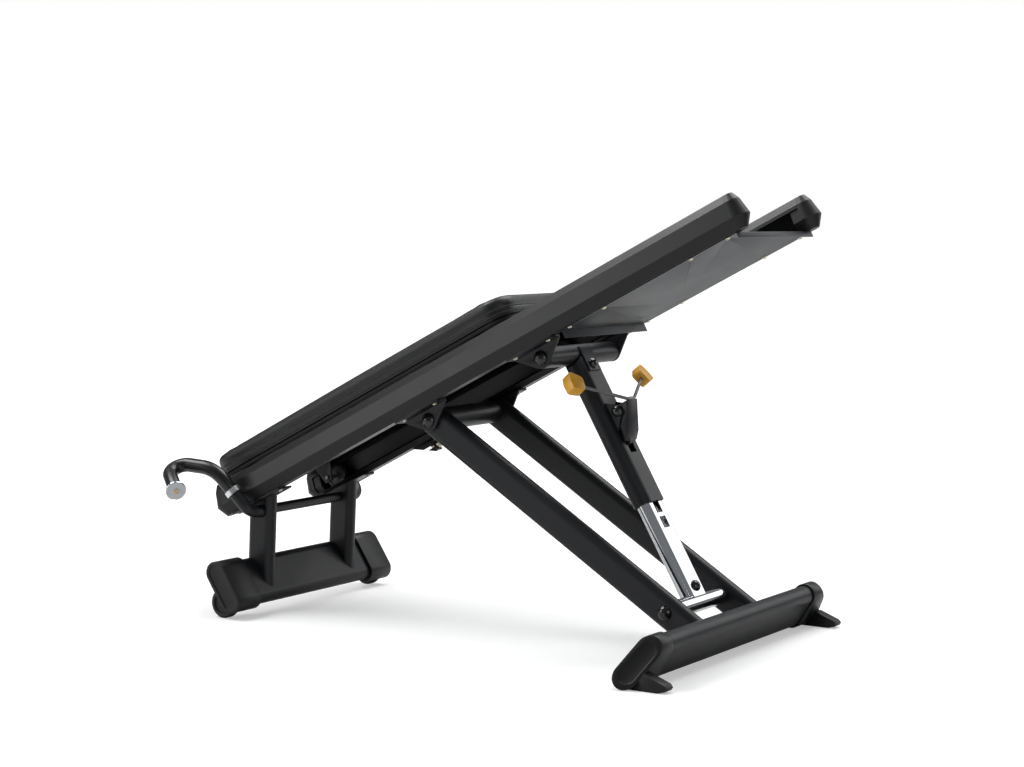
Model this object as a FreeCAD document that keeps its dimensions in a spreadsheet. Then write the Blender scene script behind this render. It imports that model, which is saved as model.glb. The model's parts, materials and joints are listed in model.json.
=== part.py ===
import FreeCAD, Part
import math
import os

import Sketcher
from FreeCAD import Placement, Rotation, Vector

"""Incline press bench: a padded glideboard that rolls on two inclined rails.

Millimetres, +Z up, +X from the low (handle) end to the high end, symmetric about the XZ plane.
The origin is on the floor, in the middle of the floor area that the bench covers.

Right-hand pieces lie at -Y and left-hand pieces at +Y, as seen by someone who stands at the low
end and looks up the rails.  Four working frames carry the pieces: the rail frame (x along the
rails, z square to them), the leg frame and the column frame (x down the leg or column from its
pivot) and the floor frame.
"""

# ---------------------------------------------------------------- driving dimensions

SIZES = [
    # name, value, what it is
    ("rail_origin_x", -418.35, "where the rail frame's own origin lies along X"),
    ("rail_origin_height", 379.9, "height of the rail frame's origin over the floor"),
    ("incline", 27.65, "angle of the rails, degrees"),
    ("rail_gauge", 392.0, "between the rails' centre planes"),
    ("rail_low_end", -278.0, "lower end of the rail extrusions, along the rails"),
    ("rail_length", 1628.0, "length of the rail extrusions"),
    ("rail_tall", 86.0, "rail section, bottom to top"),
    ("rail_nose_height", 28.0, "height of the widest line of the section"),
    ("rail_shoulder_height", 68.0, "height of the line under the top bevel"),
    ("rail_nose_half", 31.0, "half width at the nose"),
    ("rail_shoulder_half", 22.0, "half width at the shoulder"),
    ("rail_top_half", 12.0, "half width of the top flat"),
    ("rail_floor_half", 14.0, "half width of the bottom flat"),
    ("rail_wall", 3.5, "wall of the extrusion"),
    ("slot_low", 14.0, "lower lip of the slot in the rail's inner side"),
    ("slot_high", 60.0, "upper lip of that slot"),
    ("cap_straight", 8.0, "straight stretch of an end cap before it rounds off"),
    ("cap_plug", 24.0, "depth that an end cap's plug reaches into the rail"),
    ("cap_gap", 0.3, "clearance round the plug"),
    ("panel_start", 835.0, "lower edge of the underside panel, along the rails"),
    ("panel_margin", 5.0, "from the panel's upper edge to the rail end"),
    ("panel_overlap", 7.0, "panel edge beyond its screw line"),
    ("sheet_gauge", 2.0, "thickness of the underside panel"),
    ("panel_low_lip", 22.0, "depth of the folded lip at the panel's lower edge"),
    ("panel_high_lip", 14.0, "depth of the folded lip at the panel's upper edge"),
    ("screw_head", 6.5, "radius of a button head"),
    ("screw_head_tall", 3.2, "height of a button head"),
    ("screw_shank", 3.0, "radius of a frame screw's shank"),
    ("screw_hole", 3.2, "radius of its clearance hole"),
    ("screw_bite", 3.2, "how far a frame screw reaches into the rail's wall"),
    ("leg_pivot_along", 373.3, "leg pivot, along the rails"),
    ("column_pivot_along", 736.3, "column pivot, along the rails"),
    ("pivot_drop", 29.4, "pivots below the rails' bottom face"),
    ("bracket_half", 70.0, "half length of a pivot bracket along the rails"),
    ("bracket_lobe", 26.0, "radius of the bracket's lobe round its pivot"),
    ("plate", 5.0, "thickness of brackets and saddles"),
    ("bracket_inset", 27.0, "from a rail's centre plane to the inner face of the brackets' webs"),
    ("bracket_screw_half", 50.0, "bracket screws, half their spacing"),
    ("pivot_radius", 8.0, "radius of the pivot bolts"),
    ("running_gap", 0.05, "radial clearance of running fits"),
    ("bush_wall", 4.0, "wall of the pivot bushes"),
    ("bush_flange", 20.0, "radius of a bush flange"),
    ("dome_radius", 18.0, "radius of the pivot bolts' domed heads"),
    ("dome_tall", 13.0, "height of those heads"),
    ("small_dome_radius", 14.2, "radius of the column bolts' domed heads"),
    ("small_dome_tall", 11.0, "height of those heads"),
    ("leg_length", 779.0, "leg pivot to the bolt that holds the column's foot"),
    ("leg_bolt_height", 114.7, "height of that bolt over the floor"),
    ("leg_gap", 3.8, "between a leg and its bracket's web"),
    ("leg_flat_half", 19.0, "half the flat of the leg's flat-oval section"),
    ("tube_radius", 20.0, "edge radius of the leg's section, half its thickness"),
    ("tube_wall", 3.0, "wall of the steel tubes"),
    ("cross_tube_radius", 28.5, "outer radius of the tube between the legs"),
    ("rear_beam_beyond", 106.0, "rear beam's centre beyond the foot bolt, down the leg"),
    ("rear_beam_off", 1.0, "rear beam's centre square off the leg's axis"),
    ("rear_beam_radius", 25.0, "edge radius of the rear beam's section"),
    ("rear_beam_flat_half", 33.5, "half the flat of that section"),
    ("rear_beam_half", 405.0, "half length of the rear beam"),
    ("rear_cap_wall", 4.5, "how far an end cap stands proud of the beam"),
    ("rear_cap_grip", 24.0, "how far an end cap overlaps the beam"),
    ("rear_cap_high", 430.0, "outer end of the cap at its upper edge, from the middle plane"),
    ("rear_cap_low", 500.0, "outer end of the cap at its lower edge"),
    ("foot_centre", 460.0, "rear foot from the middle plane"),
    ("foot_wide", 34.0, "width of a rear foot"),
    ("cap_recess", 3.0, "depth of the recess in an end cap's or cover's outer face"),
    ("cap_rim", 9.0, "width of the rim round that recess"),
    ("foot_reach", 80.0, "rear foot's toe beyond the beam's centre, along X"),
    ("foot_tall", 46.0, "height of the rear foot at its root"),
    ("foot_toe_tall", 19.0, "height of the rear foot at its toe"),
    ("column_flat_half", 26.5, "half the flat of the column's flat-oval section"),
    ("column_radius", 25.4, "edge radius of the outer column"),
    ("column_inner_radius", 18.0, "edge radius of the inner column"),
    ("column_start", 27.0, "top end of the outer column below its pivot"),
    ("column_end", 410.0, "lower end of the outer column below its pivot"),
    ("column_guide_long", 60.0, "length of the guide bush in the outer column"),
    ("column_tube_radius", 25.4, "outer radius of the tube that the column hangs from"),
    ("inner_column_start", 241.0, "top end of the inner column below the pivot"),
    ("hole_start", 264.5, "first latch hole below the pivot"),
    ("hole_pitch", 40.0, "between latch holes"),
    ("hole_count", 6.0, "latch holes, one for each incline"),
    ("hole_wide", 29.0, "latch hole across the column"),
    ("hole_long", 30.0, "latch hole along the column"),
    ("sleeve_radius", 22.0, "outer radius of the column's foot sleeve"),
    ("sleeve_gap", 4.2, "between an end of the foot sleeve and a leg"),
    ("latch_pivot_along", 178.0, "latch pivot down the column"),
    ("latch_pivot_out", 47.0, "latch pivot out from the column's axis"),
    ("latch_wide", 51.0, "width of the latch lever"),
    ("latch_sheet", 3.0, "thickness of the latch's folded plate"),
    ("latch_pin_radius", 5.0, "radius of the latch pivot pin"),
    ("nose_wide", 24.0, "width of the latch nose"),
    ("rod_radius", 4.0, "radius of the release rods"),
    ("paddle_out", 168.0, "release paddle from the middle plane"),
    ("paddle_along", 97.5, "release paddle down the column"),
    ("paddle_off", 49.0, "release paddle out from the column's axis"),
    ("post_inset", 20.0, "from a rail's centre plane to the front post's"),
    ("post_x", -167.0, "front post's centre from the rail origin, where it meets the rails"),
    ("post_lean", 2.1, "lean of the front posts, degrees"),
    ("post_flat_half", 19.5, "half the flat of the post's section"),
    ("post_radius", 19.0, "edge radius of the post's section"),
    ("cross_bar_radius", 12.7, "radius of the bar between the posts"),
    ("cross_bar_height", 263.0, "height of that bar"),
    ("stand_beam_x", -173.6, "front beam's centre from the rail origin"),
    ("stand_beam_height", 81.0, "front beam's centre over the floor"),
    ("stand_beam_lean", 33.8, "lean of the front beam's section, degrees"),
    ("stand_beam_radius", 22.0, "edge radius of the front beam's section"),
    ("stand_beam_flat_half", 41.5, "half the flat of that section"),
    ("stand_beam_half", 292.0, "half length of the front beam"),
    ("cover_inner", 245.0, "inner end of a wheel cover from the middle plane"),
    ("cover_outer", 337.0, "outer end of a wheel cover"),
    ("cover_wall", 8.0, "how far a wheel cover stands proud of the beam"),
    ("axle_boss", 11.0, "radius of the cover's boss round the axle"),
    ("wheel_radius", 38.0, "radius of a transport wheel"),
    ("wheel_wide", 28.0, "width of a transport wheel"),
    ("wheel_centre", 313.0, "wheel from the middle plane"),
    ("wheel_x", -182.0, "wheel's axle from the rail origin, along X"),
    ("wheel_gap", 2.5, "clearance round a wheel in its cover"),
    ("axle_radius", 5.0, "radius of a wheel axle"),
    ("handle_root_height", 262.0, "height at which a handle meets its post"),
    ("handle_radius", 15.9, "radius of the handle tube"),
    ("grip_radius", 18.5, "outer radius of the rubber grip"),
    ("collar_long", 14.0, "length of a clamp collar"),
    ("disc_radius", 25.0, "radius of a grip's end disc"),
    ("glide_low", -303.0, "lower end of the glideboard's pad, along the rails"),
    ("glide_length", 1015.0, "length of the pad"),
    ("glide_overhang", 2.0, "pad's edge outside a rail's centre plane"),
    ("board_height", 93.0, "underside of the pad's board over the rails' bottom face"),
    ("board_thick", 10.0, "thickness of the pad's board"),
    ("pad_thick", 58.0, "thickness of the pad over its board"),
    ("pad_corner", 60.0, "corner radius of the pad in plan"),
    ("roller_radius", 32.2, "radius of a glideboard roller"),
    ("roller_wide", 18.0, "width of a glideboard roller"),
    ("roller_low", -212.0, "lower pair of rollers, along the rails"),
    ("roller_high", 590.0, "upper pair of rollers, along the rails"),
    ("roller_float", 0.3, "gap between a roller and the rail's floor"),
    ("hanger_inset", 40.0, "from a rail's centre plane to a hanger plate's outer face"),
    ("saddle_half", 84.0, "half length of a post saddle along the rails"),
]

# sizes that follow others, written out before an expression is used
FOLLOWS = {
    "bracket_face": "(rail_gauge/2 - bracket_inset)",
    "leg_centre": "(rail_gauge/2 - bracket_inset - leg_gap - tube_radius)",
    "rear_beam_along": "(leg_length + rear_beam_beyond)",
    "sleeve_half": "(rail_gauge/2 - bracket_inset - leg_gap - 2*tube_radius - sleeve_gap)",
    "post_centre": "(rail_gauge/2 - post_inset)",
    "glide_half_width": "(rail_gauge/2 + glide_overhang)",
    "hanger_face": "(rail_gauge/2 - hanger_inset)",
}

doc = FreeCAD.newDocument("incline_press_bench")
sheet = doc.addObject("Spreadsheet::Sheet", "sizes")
for row, (name, number, note) in enumerate(SIZES, start=1):
    sheet.set(f"A{row}", name)
    sheet.set(f"B{row}", str(number))
    sheet.set(f"C{row}", note)
    sheet.setAlias(f"B{row}", name)
doc.recompute()

SIDES = {"right": -1, "left": 1}
PARTS = []


SHEET_NAMES = {name: f"sizes.{name}" for name, number, note in SIZES}


def reworded(expression, words):
    """An expression with every whole word that the dictionary knows replaced."""
    pieces = []
    word = ""
    for letter in expression + " ":
        if letter.isalnum() or letter == "_":
            word += letter
            continue
        pieces.append(words.get(word, word))
        pieces.append(letter)
        word = ""
    return "".join(pieces).strip()


def size(expression):
    """The value of an expression in the sheet's names."""
    return float(sheet.evalExpression(reworded(expression, FOLLOWS)))


def bound(expression):
    """The same expression as other objects write it, with the sheet's name before each alias."""
    return reworded(reworded(expression, FOLLOWS), SHEET_NAMES)


# ---------------------------------------------------------------- working frames

def turned(origin, degrees):
    """A frame at origin, turned about Y."""
    return Placement(origin, Rotation(Vector(0, 1, 0), degrees))


FLOOR = Placement(Vector(size("rail_origin_x"), 0, 0), Rotation())
RAIL = turned(Vector(size("rail_origin_x"), 0, size("rail_origin_height")), -size("incline"))

leg_pivot = RAIL.multVec(Vector(size("leg_pivot_along"), 0, -size("pivot_drop")))
leg_drop = leg_pivot.z - size("leg_bolt_height")
LEG = turned(leg_pivot, math.degrees(math.asin(leg_drop / size("leg_length"))))

column_pivot = RAIL.multVec(Vector(size("column_pivot_along"), 0, -size("pivot_drop")))
foot_bolt = LEG.multVec(Vector(size("leg_length"), 0, 0))
column_run = foot_bolt - column_pivot
column_length = column_run.Length
COLUMN = turned(column_pivot, math.degrees(math.atan2(-column_run.z, column_run.x)))

REAR_BEAM = LEG.multiply(
    Placement(Vector(size("rear_beam_along"), 0, size("rear_beam_off")), Rotation()))
STAND_BEAM = FLOOR.multiply(
    turned(Vector(size("stand_beam_x"), 0, size("stand_beam_height")), -size("stand_beam_lean")))
POST_TOP = FLOOR.multiply(turned(
    Vector(size("post_x"), 0, size("rail_origin_height + post_x*tan(incline*1deg)")),
    size("post_lean")))

saddle_middle = RAIL.inverse().multVec(POST_TOP.Base).x


# ---------------------------------------------------------------- building blocks

def keep(thing, label):
    """Count a document object as a piece of the bench, under its own label."""
    thing.Label = label
    PARTS.append(thing)
    return thing


def new_body(label, frame):
    """An empty PartDesign body in a working frame."""
    body = doc.addObject("PartDesign::Body", label)
    body.Placement = frame
    return body


def new_sketch(body, plane, offset="0"):
    """A sketch on one of the body's origin planes, moved along that plane's normal."""
    sketch = body.newObject("Sketcher::SketchObject", f"{body.Name}_sketch")
    role = f"{plane}_Plane"
    origin_plane = next(f for f in body.Origin.OriginFeatures if f.Role == role)
    sketch.AttachmentSupport = [(origin_plane, "")]
    sketch.MapMode = "FlatFace"
    sketch.setExpression("AttachmentOffset.Base.z", bound(offset))
    return sketch


def hold(sketch, constraint, expression):
    """Add a constraint whose value follows an expression."""
    index = sketch.addConstraint(constraint)
    sketch.setExpression(f"Constraints[{index}]", bound(expression))


def pin_point(sketch, shape, end, across, up):
    """Hold a point of a sketch at two expressions from the sketch's origin."""
    hold(sketch, Sketcher.Constraint("DistanceX", -1, 1, shape, end, size(across)), across)
    hold(sketch, Sketcher.Constraint("DistanceY", -1, 1, shape, end, size(up)), up)


def draw_polygon(sketch, corners):
    """A closed outline of straight lines through corners given as pairs of expressions."""
    first = sketch.GeometryCount
    points = [Vector(size(across), size(up), 0) for across, up in corners]
    count = len(corners)
    for number in range(count):
        sketch.addGeometry(Part.LineSegment(points[number], points[(number + 1) % count]))
    for number in range(count):
        after = first + (number + 1) % count
        sketch.addConstraint(Sketcher.Constraint("Coincident", first + number, 2, after, 1))
    for number, (across, up) in enumerate(corners):
        pin_point(sketch, first + number, 1, across, up)


def draw_circle(sketch, radius, across="0", up="0"):
    """A circle at a place given by expressions."""
    centre = Vector(size(across), size(up), 0)
    index = sketch.addGeometry(Part.Circle(centre, Vector(0, 0, 1), size(radius)))
    hold(sketch, Sketcher.Constraint("Radius", index, size(radius)), radius)
    pin_point(sketch, index, 3, across, up)


def draw_flat_oval(sketch, flat_half, radius, upright):
    """Two half circles joined by straight sides, lying along the sketch's x or y."""
    flat, bend = size(flat_half), size(radius)
    along = Vector(0, 1, 0) if upright else Vector(1, 0, 0)
    side = Vector(-along.y, along.x, 0)
    turn = math.pi / 2 if upright else 0.0
    quarter = math.pi / 2
    ends = []
    for sign, start in ((1, turn - quarter), (-1, turn + quarter)):
        circle = Part.Circle(along * (sign * flat), Vector(0, 0, 1), bend)
        ends.append(sketch.addGeometry(Part.ArcOfCircle(circle, start, start + math.pi)))
    top = sketch.addGeometry(Part.LineSegment(along * flat + side * bend, along * -flat + side * bend))
    bottom = sketch.addGeometry(
        Part.LineSegment(along * -flat - side * bend, along * flat - side * bend))
    ring = [(ends[0], top), (top, ends[1]), (ends[1], bottom), (bottom, ends[0])]
    for before, after in ring:
        sketch.addConstraint(Sketcher.Constraint("Tangent", before, 2, after, 1))
    hold(sketch, Sketcher.Constraint("Radius", ends[0], bend), radius)
    for end, sign in zip(ends, ("", "-")):
        place = (f"{sign}({flat_half})", "0")
        across, up = reversed(place) if upright else place
        pin_point(sketch, end, 3, across, up)


def add_pad(body, sketch, length, both_ways=False):
    """Extrude a sketch; both_ways makes it symmetric about the sketch's plane."""
    pad = body.newObject("PartDesign::Pad", f"{body.Name}_pad")
    pad.Profile = sketch
    pad.setExpression("Length", bound(length))
    pad.Midplane = both_ways
    sketch.Visibility = False
    body.Tip = pad
    return pad


def add_cut(body, sketch, length=None, both_ways=True, backwards=False):
    """Cut a sketch out of the body, through everything unless a length is given."""
    cut = body.newObject("PartDesign::Pocket", f"{body.Name}_cut")
    cut.Profile = sketch
    if length is None:
        cut.Type = "ThroughAll"
    else:
        cut.setExpression("Length", bound(length))
    cut.Midplane = both_ways
    cut.Reversed = backwards
    body.Tip = cut
    return cut


def round_edges(body, direction, radius):
    """Round every straight edge of a body that runs along a direction."""
    doc.recompute()
    chosen = []
    for number, edge in enumerate(body.Shape.Edges, start=1):
        straight = isinstance(edge.Curve, Part.Line)
        if straight and abs(edge.tangentAt(edge.FirstParameter).dot(direction)) > 0.99:
            chosen.append(f"Edge{number}")
    base = body.Tip
    rounding = body.newObject("PartDesign::Fillet", f"{body.Name}_rounding")
    rounding.Base = (base, chosen)
    rounding.setExpression("Radius", bound(radius))
    body.Tip = rounding


def flat_oval_tube(label, frame, plane, flat_half, radius, wall, length, start="0", upright=True,
                   both_ways=False):
    """A straight tube, or a bar when wall is None, with a flat-oval section."""
    body = new_body(label, frame)
    sketch = new_sketch(body, plane, start)
    draw_flat_oval(sketch, flat_half, radius, upright)
    if wall is not None:
        draw_flat_oval(sketch, flat_half, f"{radius} - {wall}", upright)
    add_pad(body, sketch, length, both_ways)
    return body


def cylinder(label, radius, height, place):
    """A Part cylinder whose size follows the sheet."""
    rod = doc.addObject("Part::Cylinder", label)
    rod.setExpression("Radius", bound(radius))
    rod.setExpression("Height", bound(height))
    rod.Placement = place
    return rod


def box(label, long, wide, tall, place):
    """A Part box whose size follows the sheet."""
    block = doc.addObject("Part::Box", label)
    block.setExpression("Length", bound(long))
    block.setExpression("Width", bound(wide))
    block.setExpression("Height", bound(tall))
    block.Placement = place
    return block


def cut_from(label, base, tools):
    """base with every tool taken away, one Part cut after another."""
    for number, tool in enumerate(tools):
        cut = doc.addObject("Part::Cut", f"{label}_{number}")
        cut.Base = base
        cut.Tool = tool
        base = cut
    return base


def mirrored(label, source):
    """The left-hand twin of a right-hand piece."""
    twin = doc.addObject("Part::Mirroring", label)
    twin.Source = source
    twin.Normal = Vector(0, 1, 0)
    return twin


def pair(name, source):
    """Keep a right-hand piece and its mirrored twin."""
    keep(source, f"{name}_right")
    keep(mirrored(f"{name}_left", source), f"{name}_left")


def both_sides(name, source):
    """Keep a right-hand piece and its mirrored twin as one piece of two solids."""
    twins = doc.addObject("Part::Compound", name)
    twins.Links = [source, mirrored(f"{name}_twin", source)]
    return keep(twins, name)


def across(frame, x, y, z, direction=1):
    """A place in a frame whose own Z points along the frame's +Y or -Y."""
    turn = Rotation(Vector(1, 0, 0), -90 * direction)
    return frame.multiply(Placement(Vector(x, y, z), turn))


def upward(frame, x, y, z, direction=1):
    """A place in a frame whose own Z points along the frame's +Z or -Z."""
    turn = Rotation(Vector(1, 0, 0), 0 if direction > 0 else 180)
    return frame.multiply(Placement(Vector(x, y, z), turn))


def placed(master, places):
    """Copies of a shape, one in each place."""
    copies = []
    for place in places:
        copy = master.copy()
        copy.Placement = place
        copies.append(copy)
    return copies


def group(label, solids):
    """One piece made of several separate solids, such as a set of bolts."""
    feature = doc.addObject("Part::Feature", label)
    feature.Shape = Part.makeCompound(solids)
    return keep(feature, label)


def turned_shape(outline):
    """A solid of revolution about Z from (radius, height) corners; a third value bulges the edge."""
    edges = []
    for (r0, z0, *bulge), (r1, z1, *after) in zip(outline, outline[1:] + outline[:1]):
        start, end = Vector(r0, 0, z0), Vector(r1, 0, z1)
        if bulge:
            middle = (start + end) * 0.5 + Vector(end.z - start.z, 0, start.x - end.x) * bulge[0]
            edges.append(Part.Arc(start, middle, end).toShape())
        else:
            edges.append(Part.LineSegment(start, end).toShape())
    face = Part.Face(Part.Wire(edges))
    return face.revolve(Vector(0, 0, 0), Vector(0, 0, 1), 360)


def rounded_route(points, radii):
    """A wire through points, with each inner corner rounded by an arc of its own radius."""
    edges = []
    here = points[0]
    for before, corner, after, radius in zip(points, points[1:], points[2:], radii):
        back = (before - corner).normalize()
        on = (after - corner).normalize()
        half = back.getAngle(on) / 2
        reach = radius / math.tan(half)
        middle = (back + on).normalize()
        centre = corner + middle * (radius / math.sin(half))
        enter, leave = corner + back * reach, corner + on * reach
        edges.append(Part.LineSegment(here, enter).toShape())
        edges.append(Part.Arc(enter, centre - middle * radius, leave).toShape())
        here = leave
    edges.append(Part.LineSegment(here, points[-1]).toShape())
    return Part.Wire(edges)


def round_bar(points, radii, radius):
    """A round bar along a route."""
    route = rounded_route(points, radii)
    heading = points[1] - points[0]
    ring = Part.Wire([Part.makeCircle(radius, points[0], heading)])
    return route.makePipeShell([ring], True, True)


# ---------------------------------------------------------------- fasteners, modelled once

def dome_bolt(shank_long, shank_radius, head_name="dome"):
    """A bolt along +Z under a domed head that sits at Z below zero."""
    head, tall = size(f"{head_name}_radius"), size(f"{head_name}_tall")
    rim = 2.0
    rise = tall - rim
    chord = math.hypot(head, rise)
    sphere = chord ** 2 / (2 * rise)
    bulge = (sphere - math.sqrt(sphere ** 2 - chord ** 2 / 4)) / chord
    return turned_shape([
        (0, shank_long), (shank_radius, shank_long), (shank_radius, 0), (head, 0),
        (head, -rim, -bulge), (0, -tall)])


def button_screw(plate):
    """A button-head screw along +Z through a plate, its head below zero."""
    head, tall, shank = size("screw_head"), size("screw_head_tall"), size("screw_shank")
    end = plate + size("screw_bite")
    socket, deep = 2.4, 1.6
    return turned_shape([
        (0, -tall + deep), (socket, -tall + deep), (socket, -tall), (head * 0.62, -tall),
        (head, -0.6), (head, 0), (shank, 0), (shank, end), (0, end)])


# ---------------------------------------------------------------- rails

def rail_outline(inset):
    """Corners of the rail's closed outline on its outer side, from bottom to top."""
    slope = 0.55
    return [
        (f"rail_floor_half - {inset}*{slope}", inset),
        (f"rail_nose_half - {inset}*1.05", "rail_nose_height"),
        (f"rail_shoulder_half - {inset}*1.02", f"rail_shoulder_height - {inset}*0.2"),
        (f"rail_top_half - {inset}*{slope}", f"rail_tall - {inset}"),
    ]


def lip(height, low, low_half, high, high_half, inset):
    """A corner on a straight side of the outline at a given height."""
    share = f"({height} - ({low}))/(({high}) - ({low}))"
    return (f"-({low_half} + ({high_half} - ({low_half}))*{share} - {inset})", height)


def make_rails():
    """C-shaped extrusions whose slots face each other, with a nose line on the outer side."""
    body = new_body("rail", RAIL)
    sketch = new_sketch(body, "YZ", "rail_low_end")
    outer = rail_outline("0")
    inner = rail_outline("rail_wall")
    low_lip = ("slot_low", "0", "rail_floor_half", "rail_nose_height", "rail_nose_half")
    high_lip = ("slot_high", "rail_nose_height", "rail_nose_half", "rail_shoulder_height",
                "rail_shoulder_half")
    flip = lambda corner: (f"-({corner[0]})", corner[1])
    corners = [lip(*low_lip, "0"), flip(outer[0])] + outer
    corners += [flip(outer[3]), flip(outer[2]), lip(*high_lip, "0"), lip(*high_lip, "rail_wall")]
    corners += [flip(inner[2]), flip(inner[3])] + inner[::-1]
    corners += [flip(inner[0]), lip(*low_lip, "rail_wall")]
    places = [(f"-rail_gauge/2 - ({out})", up) for out, up in corners]
    draw_polygon(sketch, places)
    add_pad(body, sketch, "rail_length")
    holes = new_sketch(body, "XY")
    for along in panel_screw_places() + bracket_screw_places() + saddle_screw_places():
        draw_circle(holes, "screw_shank", along, "-rail_gauge/2")
    add_cut(body, holes, "2*rail_wall", both_ways=False, backwards=True)
    pair("rail", body)


def make_end_caps():
    """Moulded plugs that carry the rail's section round the end in a half turn."""
    body = new_body("cap_mould", Placement())
    flip = lambda corner: (f"-({corner[0]})", corner[1])
    outline = rail_outline("0")
    sketch = new_sketch(body, "YZ")
    draw_polygon(sketch, [flip(corner) for corner in outline[::-1]] + outline)
    add_pad(body, sketch, "cap_straight")
    plug = new_sketch(body, "YZ", "-cap_plug")
    inside = rail_outline("(rail_wall + cap_gap)")
    draw_polygon(plug, [flip(corner) for corner in inside[::-1]] + inside)
    add_pad(body, plug, "cap_plug")
    nose = new_sketch(body, "YZ", "cap_straight")
    draw_polygon(nose, [("0", "rail_tall"), ("0", "0")] + outline)
    turn = body.newObject("PartDesign::Revolution", "cap_round")
    turn.Profile = nose
    turn.ReferenceAxis = (nose, ["V_Axis"])
    turn.Angle = 180
    turn.Reversed = True
    body.Tip = turn
    doc.recompute()
    half_gauge = size("rail_gauge/2")
    ends = {
        "rail_caps_high": (size("rail_low_end + rail_length"), 0),
        "rail_caps_low": (size("rail_low_end"), 180),
    }
    for label, (along, heading) in ends.items():
        places = [
            RAIL.multiply(Placement(Vector(along, side * half_gauge, 0),
                                    Rotation(Vector(0, 0, 1), heading)))
            for side in SIDES.values()]
        group(label, placed(body.Shape, places))


def panel_screw_places():
    """The panel's four screws along each rail: two near each end."""
    start = "panel_start"
    end = "(rail_low_end + rail_length - panel_margin)"
    return [f"{start} + 19", f"{start} + 123.5", f"{end} - 134", f"{end} - 29.4"]


def bracket_screw_places():
    """Two screws for each pivot bracket."""
    return [f"{pivot}_pivot_along {end} bracket_screw_half"
            for pivot in ("leg", "column") for end in "-+"]


def saddle_screw_places():
    """Two screws for each post saddle."""
    return [f"{saddle_middle} {end} (saddle_half - 9)" for end in "-+"]


def make_panel():
    """A folded sheet under the upper half of the rails, its lips turned down."""
    body = new_body("underside_panel", RAIL)
    long = "(rail_low_end + rail_length - panel_margin - panel_start)"
    end = f"panel_start + {long}"
    sketch = new_sketch(body, "XZ")
    draw_polygon(sketch, [
        ("panel_start", "-panel_low_lip"), ("panel_start + sheet_gauge", "-panel_low_lip"),
        ("panel_start + sheet_gauge", "-sheet_gauge"), (f"{end} - sheet_gauge", "-sheet_gauge"),
        (f"{end} - sheet_gauge", "-panel_high_lip"), (end, "-panel_high_lip"),
        (end, "0"), ("panel_start", "0")])
    add_pad(body, sketch, "rail_gauge + 2*panel_overlap", both_ways=True)
    holes = new_sketch(body, "XY")
    for place in panel_screw_places():
        for side in ("-", ""):
            draw_circle(holes, "screw_hole", place, f"{side}rail_gauge/2")
    add_cut(body, holes)
    keep(body, "underside_panel")


# ---------------------------------------------------------------- pivot brackets

def make_pivot_brackets():
    """Plates under each rail: a flange that the rail sits on and a three-cornered web."""
    for name, along in (("leg_bracket", "leg_pivot_along"), ("column_bracket", "column_pivot_along")):
        body = new_body(name, RAIL)
        web = new_sketch(body, "XZ", "bracket_face")
        low = "-pivot_drop - bracket_lobe*0.72"
        draw_polygon(web, [
            (f"{along} - bracket_half", "0"), (f"{along} - bracket_half", "-plate"),
            (f"{along} - bracket_lobe*0.7", low), (f"{along} + bracket_lobe*0.7", low),
            (f"{along} + bracket_half", "-plate"), (f"{along} + bracket_half", "0")])
        add_pad(body, web, "plate")
        lobe = new_sketch(body, "XZ", "bracket_face")
        draw_circle(lobe, "bracket_lobe", along, "-pivot_drop")
        add_pad(body, lobe, "plate")
        flange = new_sketch(body, "XY", "-plate")
        inner, outer = "-bracket_face", "-rail_gauge/2 - rail_floor_half"
        draw_polygon(flange, [
            (f"{along} - bracket_half", inner), (f"{along} - bracket_half", outer),
            (f"{along} + bracket_half", outer), (f"{along} + bracket_half", inner)])
        add_pad(body, flange, "plate")
        bore = new_sketch(body, "XZ")
        draw_circle(bore, "pivot_radius", along, "-pivot_drop")
        add_cut(body, bore)
        holes = new_sketch(body, "XY")
        for end in ("-", "+"):
            draw_circle(holes, "screw_hole", f"{along} {end} bracket_screw_half", "-rail_gauge/2")
        add_cut(body, holes)
        both_sides(f"{name}s", body)


def make_pivot_bolts():
    """Four dome bolts, pressed in the brackets, that the legs and the column turn on."""
    outer = size("bracket_face + plate")
    reach = outer - size("leg_centre - tube_radius") - 2
    places = []
    for along in ("leg_pivot_along", "column_pivot_along"):
        for side in SIDES.values():
            places.append(across(RAIL, size(along), side * outer, -size("pivot_drop"), -side))
    group("pivot_bolts", placed(dome_bolt(reach, size("pivot_radius")), places))


def make_bushes():
    """Flanged bushes: two in the legs, two in the column's cross tube."""
    bore = size("pivot_radius + running_gap")
    outside = size("pivot_radius + bush_wall")
    flange, thick = size("bush_flange"), size("bracket_face - leg_centre - tube_radius") - 0.4
    gap = 0.2
    for label, frame, long, face in (
            ("leg_bushes", LEG, size("2*tube_radius") - 2, size("bracket_face")),
            ("column_bushes", COLUMN, size("2*tube_radius") - 2, size("bracket_face"))):
        shape = turned_shape([
            (bore, gap), (flange, gap), (flange, gap + thick), (outside, gap + thick),
            (outside, gap + long), (bore, gap + long)])
        places = [across(frame, 0, side * face, 0, -side) for side in SIDES.values()]
        group(label, placed(shape, places))


# ---------------------------------------------------------------- legs and rear foot

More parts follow.
